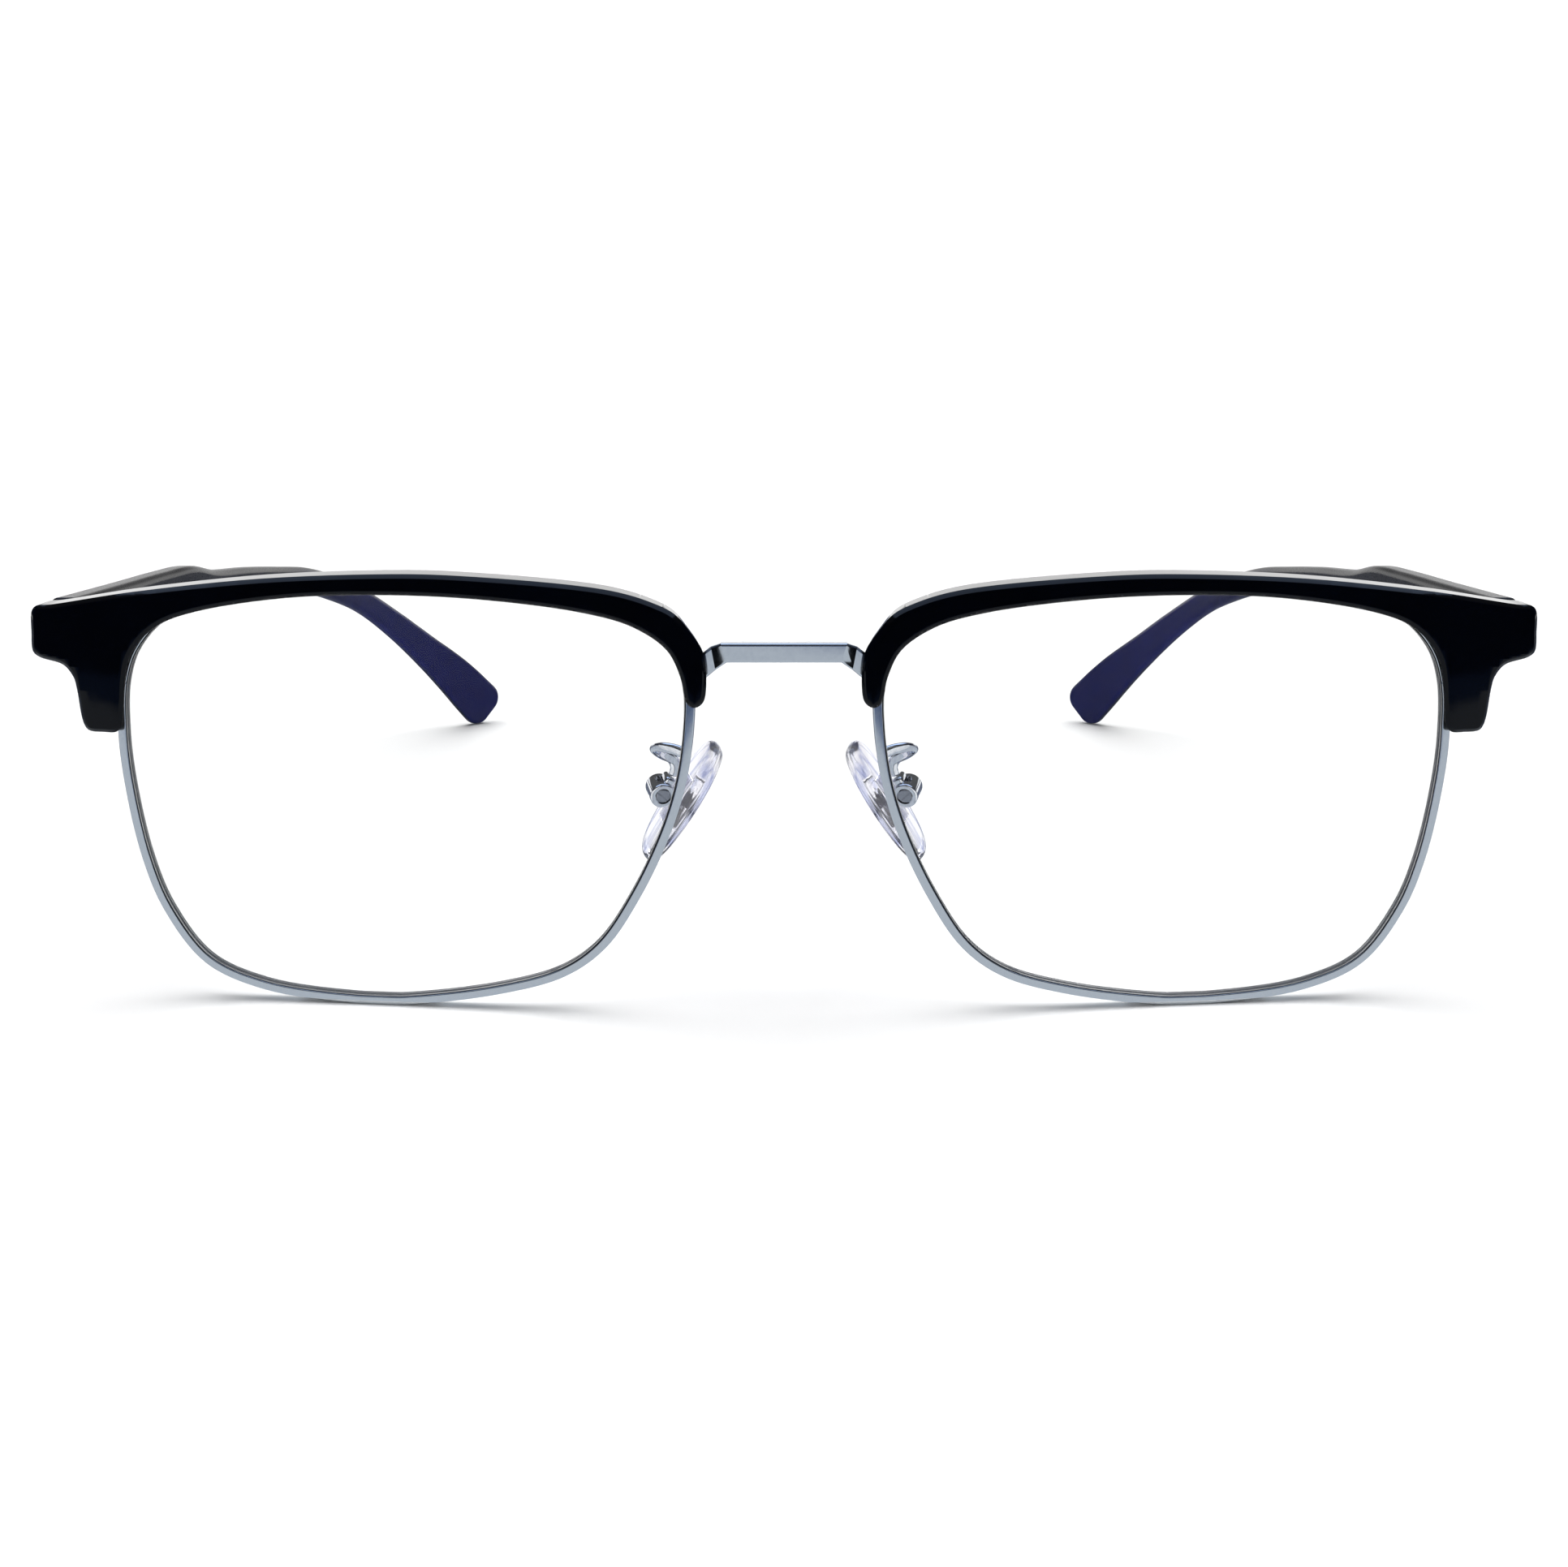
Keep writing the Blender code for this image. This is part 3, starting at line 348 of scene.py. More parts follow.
def smooth_loop(anchors, steps):
    """A closed smooth curve through the anchors, with this many points for each span."""
    p = [Vector(anchor) for anchor in anchors]
    n = len(p)
    return [
        curve_point([p[i - 1], p[i], p[(i + 1) % n], p[(i + 2) % n]], k / steps)
        for i in range(n)
        for k in range(steps)
    ]


def smooth_path(anchors, steps):
    """An open smooth curve through the anchors."""
    p = [Vector(anchor) for anchor in anchors]
    p = [2 * p[0] - p[1], *p, 2 * p[-1] - p[-2]]
    spans = range(1, len(p) - 2)
    found = [curve_point(p[i - 1 : i + 3], k / steps) for i in spans for k in range(steps)]
    return [*found, p[-2]]


def inward_normals(loop):
    """The direction into a closed outline at each of its points, for an outline in either direction."""
    area = sum(a.cross(b) for a, b in zip(loop, loop[1:] + loop[:1]))
    turn = 1 if area > 0 else -1
    found = []
    for i in range(len(loop)):
        along = (loop[(i + 1) % len(loop)] - loop[i - 1]).normalized()
        found.append(Vector((-along.y, along.x)) * turn)
    return found


def offset_loop(loop, distance):
    """The outline moved inwards by a distance."""
    return [p + n * distance for p, n in zip(loop, inward_normals(loop))]


def fillet(corners, radius, steps=ROUND_STEPS):
    """A polygon with each corner rounded to an arc."""
    points = []
    count = len(corners)
    for i, corner in enumerate(corners):
        corner = Vector(corner)
        back = (Vector(corners[i - 1]) - corner).normalized()
        ahead = (Vector(corners[(i + 1) % count]) - corner).normalized()
        half = math.acos(max(-1.0, min(1.0, back.dot(ahead)))) / 2
        centre = corner + (back + ahead).normalized() * (radius / math.sin(half))
        start = corner + back * (radius / math.tan(half)) - centre
        end = corner + ahead * (radius / math.tan(half)) - centre
        for k in range(steps + 1):
            points.append(centre + start.slerp(end, k / steps).normalized() * radius)
    return points


# ---------------------------------------------------------------- solids


def cap(bm, row, facing):
    """Fill a ring of vertices with triangles that stay inside its outline, seen along a direction."""
    along = facing.normalized()
    outline = [v.co - along * v.co.dot(along) for v in row]
    for a, b, c in tessellate_polygon([outline]):
        bm.faces.new((row[a], row[b], row[c]))


def skin(rings, closed_ends=True, closed_round=False, facing=None):
    """A closed surface through rings of points, capped at its ends or joined round."""
    bm = bmesh.new()
    rows = [[bm.verts.new(point) for point in ring] for ring in rings]
    pairs = list(zip(rows, rows[1:]))
    if closed_round:
        pairs.append((rows[-1], rows[0]))
    for near, far in pairs:
        for i in range(len(near)):
            j = (i + 1) % len(near)
            bm.faces.new((near[i], near[j], far[j], far[i]))
    if closed_ends:
        for row in (rows[0], rows[-1]):
            cap(bm, row, facing or normal([v.co for v in row]))
    bmesh.ops.recalc_face_normals(bm, faces=bm.faces)
    return bm


def band(loop, start, stop, half):
    """A closed band that follows an outline on the curved front, between two inward offsets of it."""
    rings = []
    for point, inner in zip(loop, inward_normals(loop)):
        corners = ((start, -half), (stop, -half), (stop, half), (start, half))
        places = [(point + inner * inset, depth) for inset, depth in corners]
        rings.append([on_front(p.x, p.y, depth) for p, depth in places])
    return skin(rings, closed_ends=False, closed_round=True)


def plate(outline, low, high):
    """An outline given a thickness along the curved front."""
    loop = [Vector(point) for point in outline]
    rings = [[on_front(p.x, p.y, depth) for p in loop] for depth in (low, high)]
    return skin(rings, facing=Y_AXIS)


def box(low, high, edge=0.0, grow=0.0):
    """A box between two corners, grown by a gap on every side, with rounded edges."""
    low = Vector(low) - Vector((grow, grow, grow))
    high = Vector(high) + Vector((grow, grow, grow))
    bm = bmesh.new()
    bmesh.ops.create_cube(bm, size=1)
    bmesh.ops.scale(bm, vec=high - low, verts=bm.verts)
    bmesh.ops.translate(bm, vec=(low + high) / 2, verts=bm.verts)
    if edge:
        bmesh.ops.bevel(bm, geom=bm.edges, offset=edge, segments=ROUND_STEPS, profile=0.5, affect="EDGES")
    return bm


def turned(profile, centre, axis, sides=48):
    """A solid of revolution from (radius, distance along the axis) pairs."""
    axis = Vector(axis).normalized()
    across = axis.orthogonal().normalized()
    other = axis.cross(across)
    rings = []
    for radius, along in profile:
        middle = Vector(centre) + axis * along
        angles = [2 * math.pi * i / sides for i in range(sides)]
        rings.append([middle + (across * math.cos(a) + other * math.sin(a)) * radius for a in angles])
    return skin(rings)


def rounded_profile(radius, low, high, edge, steps=ROUND_STEPS):
    """A turned profile for a cylinder whose two end edges are rounded."""
    arc = [QUARTER_TURN * k / steps for k in range(steps + 1)]
    start = [(radius - edge + edge * math.sin(a), low + edge - edge * math.cos(a)) for a in arc]
    end = [(radius - edge + edge * math.cos(a), high - edge + edge * math.sin(a)) for a in arc]
    return [*start, *end]


def rod(radius, low, high, centre, axis):
    """A plain round rod."""
    return turned(((radius, low), (radius, high)), centre, axis)


def tab(radius, reach, low, high, centre, axis, towards):
    """A tab with a half-round end about an axis. Its straight sides run this far in one direction."""
    axis = Vector(axis).normalized()
    towards = Vector(towards).normalized()
    across = axis.cross(towards)
    outline = [across * radius + towards * reach, -across * radius + towards * reach]
    steps = 24
    for i in range(steps + 1):
        angle = math.pi * i / steps
        outline.append(-across * (radius * math.cos(angle)) - towards * (radius * math.sin(angle)))
    return skin([[Vector(centre) + p + axis * along for p in outline] for along in (low, high)])


def wire(points, wide_way, wide, thin, sides=24, end=0.7):
    """A flattened wire along a path, with rounded ends."""
    rings = []
    last = len(points) - 1
    for i, point in enumerate(points):
        along = (points[min(i + 1, last)] - points[max(i - 1, 0)]).normalized()
        across = along.cross(wide_way).normalized()
        other = along.cross(across)
        share = end if i in (0, last) else 1.0
        angles = [2 * math.pi * k / sides for k in range(sides)]
        rings.append(
            [point + (across * (math.cos(a) * wide) + other * (math.sin(a) * thin)) * share for a in angles]
        )
    return skin(rings)


# ---------------------------------------------------------------- materials


def new_material(name, colour, roughness, metallic=0.0):
    """A Principled material, with its node tree, its shader node and the object's own coordinates."""
    made = bpy.data.materials.new(name)
    made.use_nodes = True
    tree = made.node_tree
    shader = tree.nodes["Principled BSDF"]
    shader.inputs["Base Color"].default_value = (*colour, 1.0)
    shader.inputs["Roughness"].default_value = roughness
    shader.inputs["Metallic"].default_value = metallic
    place = tree.nodes.new("ShaderNodeTexCoord").outputs["Object"]
    return made, tree, shader, place


def noise(tree, place, scale, detail=3.0, stretch=(1.0, 1.0, 1.0)):
    """Noise with this many features to the metre, stretched along the object's axes."""
    mapping = tree.nodes.new("ShaderNodeMapping")
    mapping.inputs["Scale"].default_value = stretch
    made = tree.nodes.new("ShaderNodeTexNoise")
    made.inputs["Scale"].default_value = scale
    made.inputs["Detail"].default_value = detail
    tree.links.new(place, mapping.inputs["Vector"])
    tree.links.new(mapping.outputs["Vector"], made.inputs["Vector"])
    return made.outputs["Fac"]


def remap(tree, value, span, low, high, way="LINEAR"):
    """A value from low to high as another one goes through a span."""
    made = tree.nodes.new("ShaderNodeMapRange")
    made.interpolation_type = way
    limits = (("From Min", span[0]), ("From Max", span[1]), ("To Min", low), ("To Max", high))
    for name, limit in limits:
        made.inputs[name].default_value = limit
    tree.links.new(value, made.inputs["Value"])
    return made.outputs["Result"]


def spread(tree, factor, low, high):
    """A value from low to high as noise goes through its middle range."""
    return remap(tree, factor, NOISE_MIDDLE, low, high)


def carried(tree, name, output="Fac"):
    """What the mesh itself carries at each point under a name."""
    made = tree.nodes.new("ShaderNodeAttribute")
    made.attribute_name = name
    return made.outputs[output]


def calculate(tree, operation, value, other=0.0):
    """The result of one sum on a value."""
    made = tree.nodes.new("ShaderNodeMath")
    made.operation = operation
    made.inputs[1].default_value = other
    tree.links.new(value, made.inputs[0])
    return made.outputs["Value"]


def dress(tree, shader, colour, roughness):
    """Let nodes set the shader's colour and roughness."""
    tree.links.new(colour, shader.inputs["Base Color"])
    tree.links.new(roughness, shader.inputs["Roughness"])


def mixed(tree, factor, first, second):
    """A colour between two, by a factor."""
    made = tree.nodes.new("ShaderNodeMix")
    made.data_type = "RGBA"
    for name, colour in (("A", first), ("B", second)):
        socket = next(s for s in made.inputs if s.name == name and s.type == "RGBA")
        if isinstance(colour, bpy.types.NodeSocket):
            tree.links.new(colour, socket)
        else:
            socket.default_value = (*colour, 1.0)
    tree.links.new(factor, made.inputs["Factor"])
    return next(s for s in made.outputs if s.type == "RGBA")


def bump(tree, shader, height, microns):
    """Fine relief of this depth in thousandths of a millimetre."""
    made = tree.nodes.new("ShaderNodeBump")
    made.inputs["Strength"].default_value = 1.0
    made.inputs["Distance"].default_value = microns * MICRON
    tree.links.new(height, made.inputs["Height"])
    tree.links.new(made.outputs["Normal"], shader.inputs["Normal"])


def plastic(name, dark, light, roughness, level, relief):
    """Polished plastic with slow colour drift, uneven polish and a little orange peel."""
    made, tree, shader, place = new_material(name, dark, roughness[0])
    shader.inputs["Specular IOR Level"].default_value = level
    drift = noise(tree, place, 160, 2.0)
    polish = noise(tree, place, 700, 4.0)
    colour = mixed(tree, spread(tree, drift, 0, 1), dark, light)
    dress(tree, shader, colour, spread(tree, polish, *roughness))
    bump(tree, shader, noise(tree, place, 900, 2.0), relief)
    return made


def metal(name, dark, light, roughness, grain, relief):
    """Plated metal with fine drawn grain in its colour, roughness and relief."""
    made, tree, shader, place = new_material(name, dark, roughness[0], 1.0)
    lines = noise(tree, place, grain, 3.0, (1.0, 1.0, 0.25))
    wear = noise(tree, place, grain * WEAR_SHARE, 4.0)
    colour = mixed(tree, spread(tree, lines, 0, 1), dark, light)
    dress(tree, shader, colour, spread(tree, wear, *roughness))
    bump(tree, shader, lines, relief)
    return made


def temple_material():
    """Black plastic that turns deep navy on the inner face towards the ear, by the mesh's own mask."""
    made, tree, shader, place = new_material("temple_plastic", (0.004, 0.004, 0.006), 0.3)
    shader.inputs["Specular IOR Level"].default_value = 0.20
    drift = spread(tree, noise(tree, place, 500, 3.0), 0, 1)
    black = mixed(tree, drift, *TEMPLE_BLACK)
    navy = mixed(tree, drift, *TEMPLE_NAVY)
    grain = noise(tree, place, 9000, 2.0)
    colour = mixed(tree, carried(tree, "navy"), black, navy)
    dress(tree, shader, colour, spread(tree, grain, 0.24, 0.32))
    bump(tree, shader, grain, 0.5)
    return made


def lens_material():
    """Clear plastic with little gloss, and a dark ground edge by the mesh's own mask."""
    made, tree, shader, place = new_material("lens_plastic", (0.985, 0.99, 0.99), 0.01)
    shader.inputs["Transmission Weight"].default_value = 1.0
    shader.inputs["IOR"].default_value = LENS_INDEX
    ground = carried(tree, "ground")
    film = spread(tree, noise(tree, place, 90, 1.0), 0, 1)
    face = mixed(tree, film, *LENS_CLEAR)
    edge = mixed(tree, film, *LENS_GROUND)
    smear = noise(tree, place, 240, 3.0)
    dress(tree, shader, mixed(tree, ground, face, edge), spread(tree, smear, 0.0, 0.012))
    tree.links.new(remap(tree, ground, (0.0, 1.0), 1.0, 0.0), shader.inputs["Transmission Weight"])
    bump(tree, shader, noise(tree, place, 60, 1.0), 1)
    return made


def pad_core_material():
    """Clear rigid plastic, a little uneven from moulding."""
    made, tree, shader, place = new_material("pad_core_clear", CORE_TINT, 0.0)
    shader.inputs["Transmission Weight"].default_value = 0.96
    shader.inputs["IOR"].default_value = 1.36
    flow = noise(tree, place, 600, 3.0)
    paler = tuple((1 + c) / 2 for c in CORE_TINT)
    colour = mixed(tree, spread(tree, flow, 0, 1), CORE_TINT, paler)
    dress(tree, shader, colour, spread(tree, flow, 0.0, 0.01))
    bump(tree, shader, noise(tree, place, 350, 2.0), 0.8)
    return made


def pad_material():
    """Clear silicone with thin painted dark streaks along its length, which stand in for the dark lines that
    light bent through its moulded shape shows.
    """
    made, tree, shader, _ = new_material("pad_silicone", PAD_TINT, 0.005)
    shader.inputs["Transmission Weight"].default_value = 0.94
    shader.inputs["IOR"].default_value = 1.41
    flow = noise(tree, carried(tree, "pad_place", "Vector"), 650, 1.0, (1.0, 1.0, 0.12))
    away = calculate(tree, "ABSOLUTE", calculate(tree, "SUBTRACT", flow, 0.5))
    # Painted shade: a thin dark line where the noise passes its middle, in place of the lines that light bent
    # through the pad shows.
    line = remap(tree, away, (0.0, PAD_PAINTED_STREAK_WIDTH), 1.0, 0.0)
    dress(tree, shader, mixed(tree, line, PAD_TINT, PAD_PAINTED_STREAK), spread(tree, flow, 0.0, 0.01))
    bump(tree, shader, flow, 4)
    return made


def make_materials():
    """One material for each of the record's slots, by the slot's name."""
    made = {name: metal(name, *look) for name, look in METALS.items()}
    made["brow_plastic"] = plastic("brow_plastic", *BROW_BLACK, (0.05, 0.09), 0.18, 1)
    made["lens"] = lens_material()
    made["pad_silicone"] = pad_material()
    made["pad_core_clear"] = pad_core_material()
    made["temple_plastic"] = temple_material()
    return made


MATERIALS = make_materials()


# ---------------------------------------------------------------- placing


def add_object(name, data):
    """A new object in the scene."""
    made = bpy.data.objects.new(name, data)
    bpy.context.scene.collection.objects.link(made)
    return made


def mesh_from(bm, name):
    """The mesh of a shape, which is used up."""
    mesh = bpy.data.meshes.new(name)
    bm.to_mesh(mesh)
    bm.free()
    return mesh


def mesh_object(bm, name, side):
    """An object from a shape in the design frame at +X, mirrored for the right side."""
    if side < 0:
        bm.transform(Matrix.Scale(-1, 4, X_AXIS))
        bmesh.ops.reverse_faces(bm, faces=bm.faces)
    bm.transform(Matrix.Translation((0, FRONT_Y, 0)))
    return add_object(name, mesh_from(bm, name))


def apply_modifiers(made):
    """Replace the object's mesh with the mesh its modifiers give."""
    graph = bpy.context.evaluated_depsgraph_get()
    mesh = bpy.data.meshes.new_from_object(made.evaluated_get(graph))
    made.modifiers.clear()
    made.data = mesh


def combine(made, side, join, cut):
    """Join shapes to a piece and cut others out of it."""
    helpers = []
    for operation, shapes in (("UNION", join), ("DIFFERENCE", cut)):
        for shape in shapes:
            helper = mesh_object(shape, "helper", side)
            step = made.modifiers.new("step", "BOOLEAN")
            step.operation = operation
            step.object = helper
            helpers.append(helper)
    apply_modifiers(made)
    for helper in helpers:
        bpy.data.objects.remove(helper)


def bevel_edges(made, width):
    """Break the sharp edges that the joins and cuts left."""
    step = made.modifiers.new("edges", "BEVEL")
    step.width = width
    step.segments = EDGE_SEGMENTS
    step.limit_method = "ANGLE"
    step.angle_limit = EDGE_ANGLE
    step.use_clamp_overlap = True


def piece(bm, node, body, slot, join=(), cut=(), edge=0.0, sharp=30):
    """A finished piece that stands for a CAD node and rides on its body."""
    side = -1 if node.endswith("_right") else 1
    made = mesh_object(bm, f"{node}_fine", side)
    if join or cut:
        combine(made, side, join, cut)
    made.data.materials.clear()
    made.data.materials.append(MATERIALS[slot])
    made.data.shade_smooth()
    if edge:
        bevel_edges(made, edge)
    made.data.set_sharp_from_angle(angle=math.radians(sharp))
    weighted = made.modifiers.new("normals", "WEIGHTED_NORMAL")
    weighted.keep_sharp = True
    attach(made, body)
    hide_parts(node)
    return made


# ---------------------------------------------------------------- eye wires and lenses


def rim_loop(steps):
    """The eye wire's outer contour, kept flat where it stands on the table."""
    return [Vector((p.x, max(p.y, 0.0))) for p in smooth_loop(RIM_ANCHORS, steps)]


def make_rim(name):
    """A split eye wire with rounded edges and a groove along its inside."""
    loop = rim_loop(RIM_STEPS)
    inward = inward_normals(loop)
    half = RIM_DEPTH / 2
    corners = (
        (0.0, -half), (0.0, half), (RIM_WIDTH, half), (RIM_WIDTH, GROOVE_HALF),
        (RIM_WIDTH - GROOVE_DEPTH, 0.0), (RIM_WIDTH, -GROOVE_HALF), (RIM_WIDTH, -half),
    )
    section = fillet(corners, RIM_EDGE)
    start = loop[0] + (loop[1] - loop[0]).normalized() * SPLIT_HALF
    end = loop[0] + (loop[-1] - loop[0]).normalized() * SPLIT_HALF
    stations = [(start, inward[0]), *zip(loop[1:], inward[1:]), (end, inward[0])]
    rings = []
    for point, inner in stations:
        places = [(point + inner * p.x, p.y) for p in section]
        rings.append([on_front(p.x, p.y, depth) for p, depth in places])
    piece(skin(rings), f"rim_{name}", "front", "rim_metal", sharp=RIM_SHARP)


def lens_face(middle, edge, depth):
    """The rings of one polished face, from near its middle to its edge."""
    return [[on_front(*middle.lerp(p, share), depth) for p in edge] for share in LENS_SHARES]


def make_lens(name):
    """A meniscus lens with a polished bevel, which sits in the eye wire's groove."""
    loop = rim_loop(RIM_STEPS)
    edge = offset_loop(loop, RIM_WIDTH + LENS_GAP)
    ridge = offset_loop(loop, RIM_WIDTH + LENS_GAP - GROOVE_DEPTH * LENS_BEVEL_SHARE)
    middle = Vector((EYE_X, EYE_Z))
    half = LENS_THICKNESS / 2
    foot = GROOVE_HALF * LENS_BEVEL_SHARE
    sides = ((edge, -foot), (ridge, 0.0), (edge, foot))
    rings = lens_face(middle, edge, -half)
    rings += [[on_front(p.x, p.y, depth) for p in outline] for outline, depth in sides]
    rings += lens_face(middle, edge, half)[::-1]
    lens = piece(skin(rings, facing=Y_AXIS), f"lens_{name}", "front", "lens")
    lens.visible_shadow = False
    mask = lens.data.attributes.new("ground", "FLOAT", "POINT")
    first = (len(LENS_SHARES) - 1) * len(edge)
    last = (len(LENS_SHARES) + len(sides) + 1) * len(edge)
    for index in range(first, last):
        mask.data[index].value = 1.0


# ---------------------------------------------------------------- brow bars


def flat_to_front(bm):
    """Bend a shape drawn on the flat plane onto the curved front."""
    for vertex in bm.verts:
        vertex.co.y += face_depth(vertex.co.x, vertex.co.z)


def cut_in_cells(bm, span, axis):
    """Cut every face at even steps along an axis, so that large faces bend smoothly."""
    low, high = span
    for step in range(math.ceil(low / GRID), math.floor(high / GRID) + 1):
        geometry = [*bm.verts, *bm.edges, *bm.faces]
        place = axis * (step * GRID + GRID * GRID_SHIFT)
        bmesh.ops.bisect_plane(bm, geom=geometry, plane_co=place, plane_no=axis, dist=CUT_TOLERANCE)


def rear_outline(loop):
    """The brow bar's outline at the back: slimmer towards the lens and towards the nose."""
    rear = []
    for point, inner in zip(loop, inward_normals(loop)):
        facing_lens = max(0.0, inner.dot((point - Vector((EYE_X, EYE_Z))).normalized()))
        on_top = max(0.0, -inner.y)
        facing_nose = max(0.0, inner.x) if point.x < EYE_X else 0.0
        inset = REAR_INSET * (1 - on_top) + REAR_TAPER * facing_lens + REAR_NASAL_TAPER * facing_nose
        rear.append(point + inner * inset)
    return rear


def brow_shape():
    """The brow bar's body, with a bevelled front edge and a slimmer, rounded back edge."""
    loop = smooth_loop(BROW_ANCHORS, BROW_STEPS)
    rear = rear_outline(loop)
    arc = [QUARTER_TURN * k / REAR_EDGE_STEPS for k in range(REAR_EDGE_STEPS + 1)]
    layers = [
        (offset_loop(loop, FRONT_EDGE * inset), BROW_FRONT + FRONT_EDGE * depth)
        for inset, depth in FRONT_PROFILE
    ]
    layers += [
        (offset_loop(rear, REAR_EDGE * (1 - math.cos(a))), BROW_REAR - REAR_EDGE * (1 - math.sin(a)))
        for a in arc
    ]
    rings = [[Vector((p.x, depth, p.y)) for p in outline] for outline, depth in layers]
    bm = skin(rings, facing=Y_AXIS)
    cut_in_cells(bm, BROW_SPAN_X, X_AXIS)
    cut_in_cells(bm, BROW_SPAN_Z, Z_AXIS)
    flat_to_front(bm)
    return bm


def make_brow(name):
    """The plastic brow bar with its end block, and the grooves and pockets of what it holds."""
    lock_y = face_depth(LOCK_X, LOCK_UPPER[0][1])
    cuts = (
        band(rim_loop(BROW_STEPS), -GAP, GROOVE_CUT_WIDTH, BROW_GROOVE_HALF),
        plate(LOCK_POCKET, -LOCK_POCKET_HALF, LOCK_POCKET_HALF),
        rod(LOCK_HEAD_RADIUS + GAP, 0.0, LOCK_ACCESS_HEIGHT, (LOCK_X, lock_y, LOCK_ACCESS_FOOT), Z_AXIS),
        box(*BRIDGE_NOTCH),
        box(*FRONT_FOOT, grow=GAP),
    )
    block = box(*END_BLOCK, edge=BLOCK_EDGE)
    piece(
        brow_shape(), f"brow_bar_{name}", "front", "brow_plastic",
        join=(block,), cut=cuts, sharp=BROW_SHARP,
    )


def make_rim_lock(name):
    """The two closing blocks at the split of the eye wire, and their slotted screw."""
    lock_y = face_depth(LOCK_X, LOCK_UPPER[0][1])
    centre = Vector((LOCK_X, lock_y, 0.0))
    low = LOCK_LOWER[0][1]
    high = LOCK_UPPER[2][1]
    for where, outline in (("lower", LOCK_LOWER), ("upper", LOCK_UPPER)):
        bore = rod(LOCK_SCREW_RADIUS + GAP, low - LOCK_BORE_EXTRA, high + LOCK_BORE_EXTRA, centre, Z_AXIS)
        shape = plate(outline, -LOCK_HALF_DEPTH, LOCK_HALF_DEPTH)
        piece(shape, f"rim_lock_{where}_{name}", "front", "rim_metal", cut=(bore,), edge=LOCK_EDGE)
    head = low - GAP
    make_screw(
        f"rim_lock_screw_{name}", centre, -Z_AXIS, LOCK_HEAD_RADIUS, LOCK_HEAD_HEIGHT,
        LOCK_SCREW_RADIUS, -head, -high + LOCK_TIP_INSET,
    )


def make_screw(node, centre, axis, head_radius, head_height, radius, seat, tip):
    """A slotted screw. Its head stands on the seat along the axis, and its shank ends at the tip."""
    axis = Vector(axis).normalized()
    edge = head_height * SCREW_EDGE_SHARE
    point = edge * SCREW_TIP_SHARE
    shank = [(radius - point, tip), (radius, tip + point), (radius, seat)]
    head = rounded_profile(head_radius, seat, seat + head_height, edge)
    profile = [*shank, (head_radius - edge * SCREW_SEAT_SHARE, seat), *head[2:]]
    across = axis.orthogonal().normalized()
    other = axis.cross(across)
    reach = head_radius * SCREW_SLOT_REACH
    half = head_radius * SCREW_SLOT_SHARE
    slot = box((-reach, -half, 0.0), (reach, half, head_height))
    turn = Matrix((across, other, axis)).transposed().to_4x4()
    foot = Vector(centre) + axis * (seat + head_height * SCREW_SLOT_FOOT)
    slot.transform(Matrix.Translation(foot) @ turn)
    shape = turned(profile, centre, axis, SCREW_SIDES)
    piece(shape, node, "front", "screw_steel", cut=(slot,), edge=SCREW_EDGE)


# ---------------------------------------------------------------- bridge


def bridge_section(x, y, z, h, lean):
    """The bridge's section: a flat bar with rounded edges, its upper edge set out by the lean."""
    d = BRIDGE_HALF_DEPTH
    points = fillet(((-d, -h), (-d, h), (d, h), (d, -h)), BRIDGE_EDGE)
    return [Vector((x + lean * p.y / h, y + p.x, z + p.y)) for p in points]


def make_bridge():
    """One bar with a bent leg at each end, which stops at the eye wires."""
    mirrored = [(-x, y, z, h, -lean) for x, y, z, h, lean in reversed(BRIDGE_STATIONS)]
    rings = [bridge_section(*station) for station in (*mirrored, *BRIDGE_STATIONS)]
    piece(skin(rings), "bridge", "front", "rim_metal", edge=BRIDGE_BEND_EDGE, sharp=BRIDGE_SHARP)


# ---------------------------------------------------------------- temple hinges


def make_front_hinge(name):
    """The front leaf: a foot sunk in the brow bar, a plate and two outer knuckles."""
    start = INNER_KNUCKLE / 2 + KNUCKLE_GAP
    reach = HINGE.y - FRONT_LEAF[1][1] + LEAF_OVERLAP
    joins = [box(*FRONT_FOOT)]
    for low in (start, -start - OUTER_KNUCKLE):
        joins.append(tab(KNUCKLE_RADIUS, reach, low, low + OUTER_KNUCKLE, HINGE, Z_AXIS, -Y_AXIS))
    bore = rod(BORE_RADIUS, -BORE_HALF_LENGTH, BORE_HALF_LENGTH, HINGE, Z_AXIS)
    piece(
        box(*FRONT_LEAF), f"front_hinge_{name}", "front", "hinge_metal",
        join=joins, cut=(bore,), edge=HINGE_EDGE,
    )


def make_temple_hinge(name):
    """The temple leaf: a plate on the temple's inner face, a sunk foot and the middle knuckle."""
    half = INNER_KNUCKLE / 2
    reach = TEMPLE_LEAF[0][1] - HINGE.y + LEAF_OVERLAP
    joins = (box(*TEMPLE_FOOT), tab(KNUCKLE_RADIUS, reach, -half, half, HINGE, Z_AXIS, Y_AXIS))
    bore = rod(BORE_RADIUS, -BORE_HALF_LENGTH, BORE_HALF_LENGTH, HINGE, Z_AXIS)
    piece(
        box(*TEMPLE_LEAF), f"temple_hinge_{name}", f"temple_{name}", "hinge_metal",
        join=joins, cut=(bore,), edge=HINGE_EDGE,
    )


def make_hinge_screw(name):
    """The slotted hinge screw, with its head on the upper knuckle."""
    top = INNER_KNUCKLE / 2 + KNUCKLE_GAP + OUTER_KNUCKLE
    make_screw(
        f"hinge_screw_{name}", HINGE, Z_AXIS, PIN_HEAD_RADIUS, PIN_HEAD_HEIGHT,
        PIN_RADIUS, top + GAP / 2, -top,
    )


# ---------------------------------------------------------------- temples


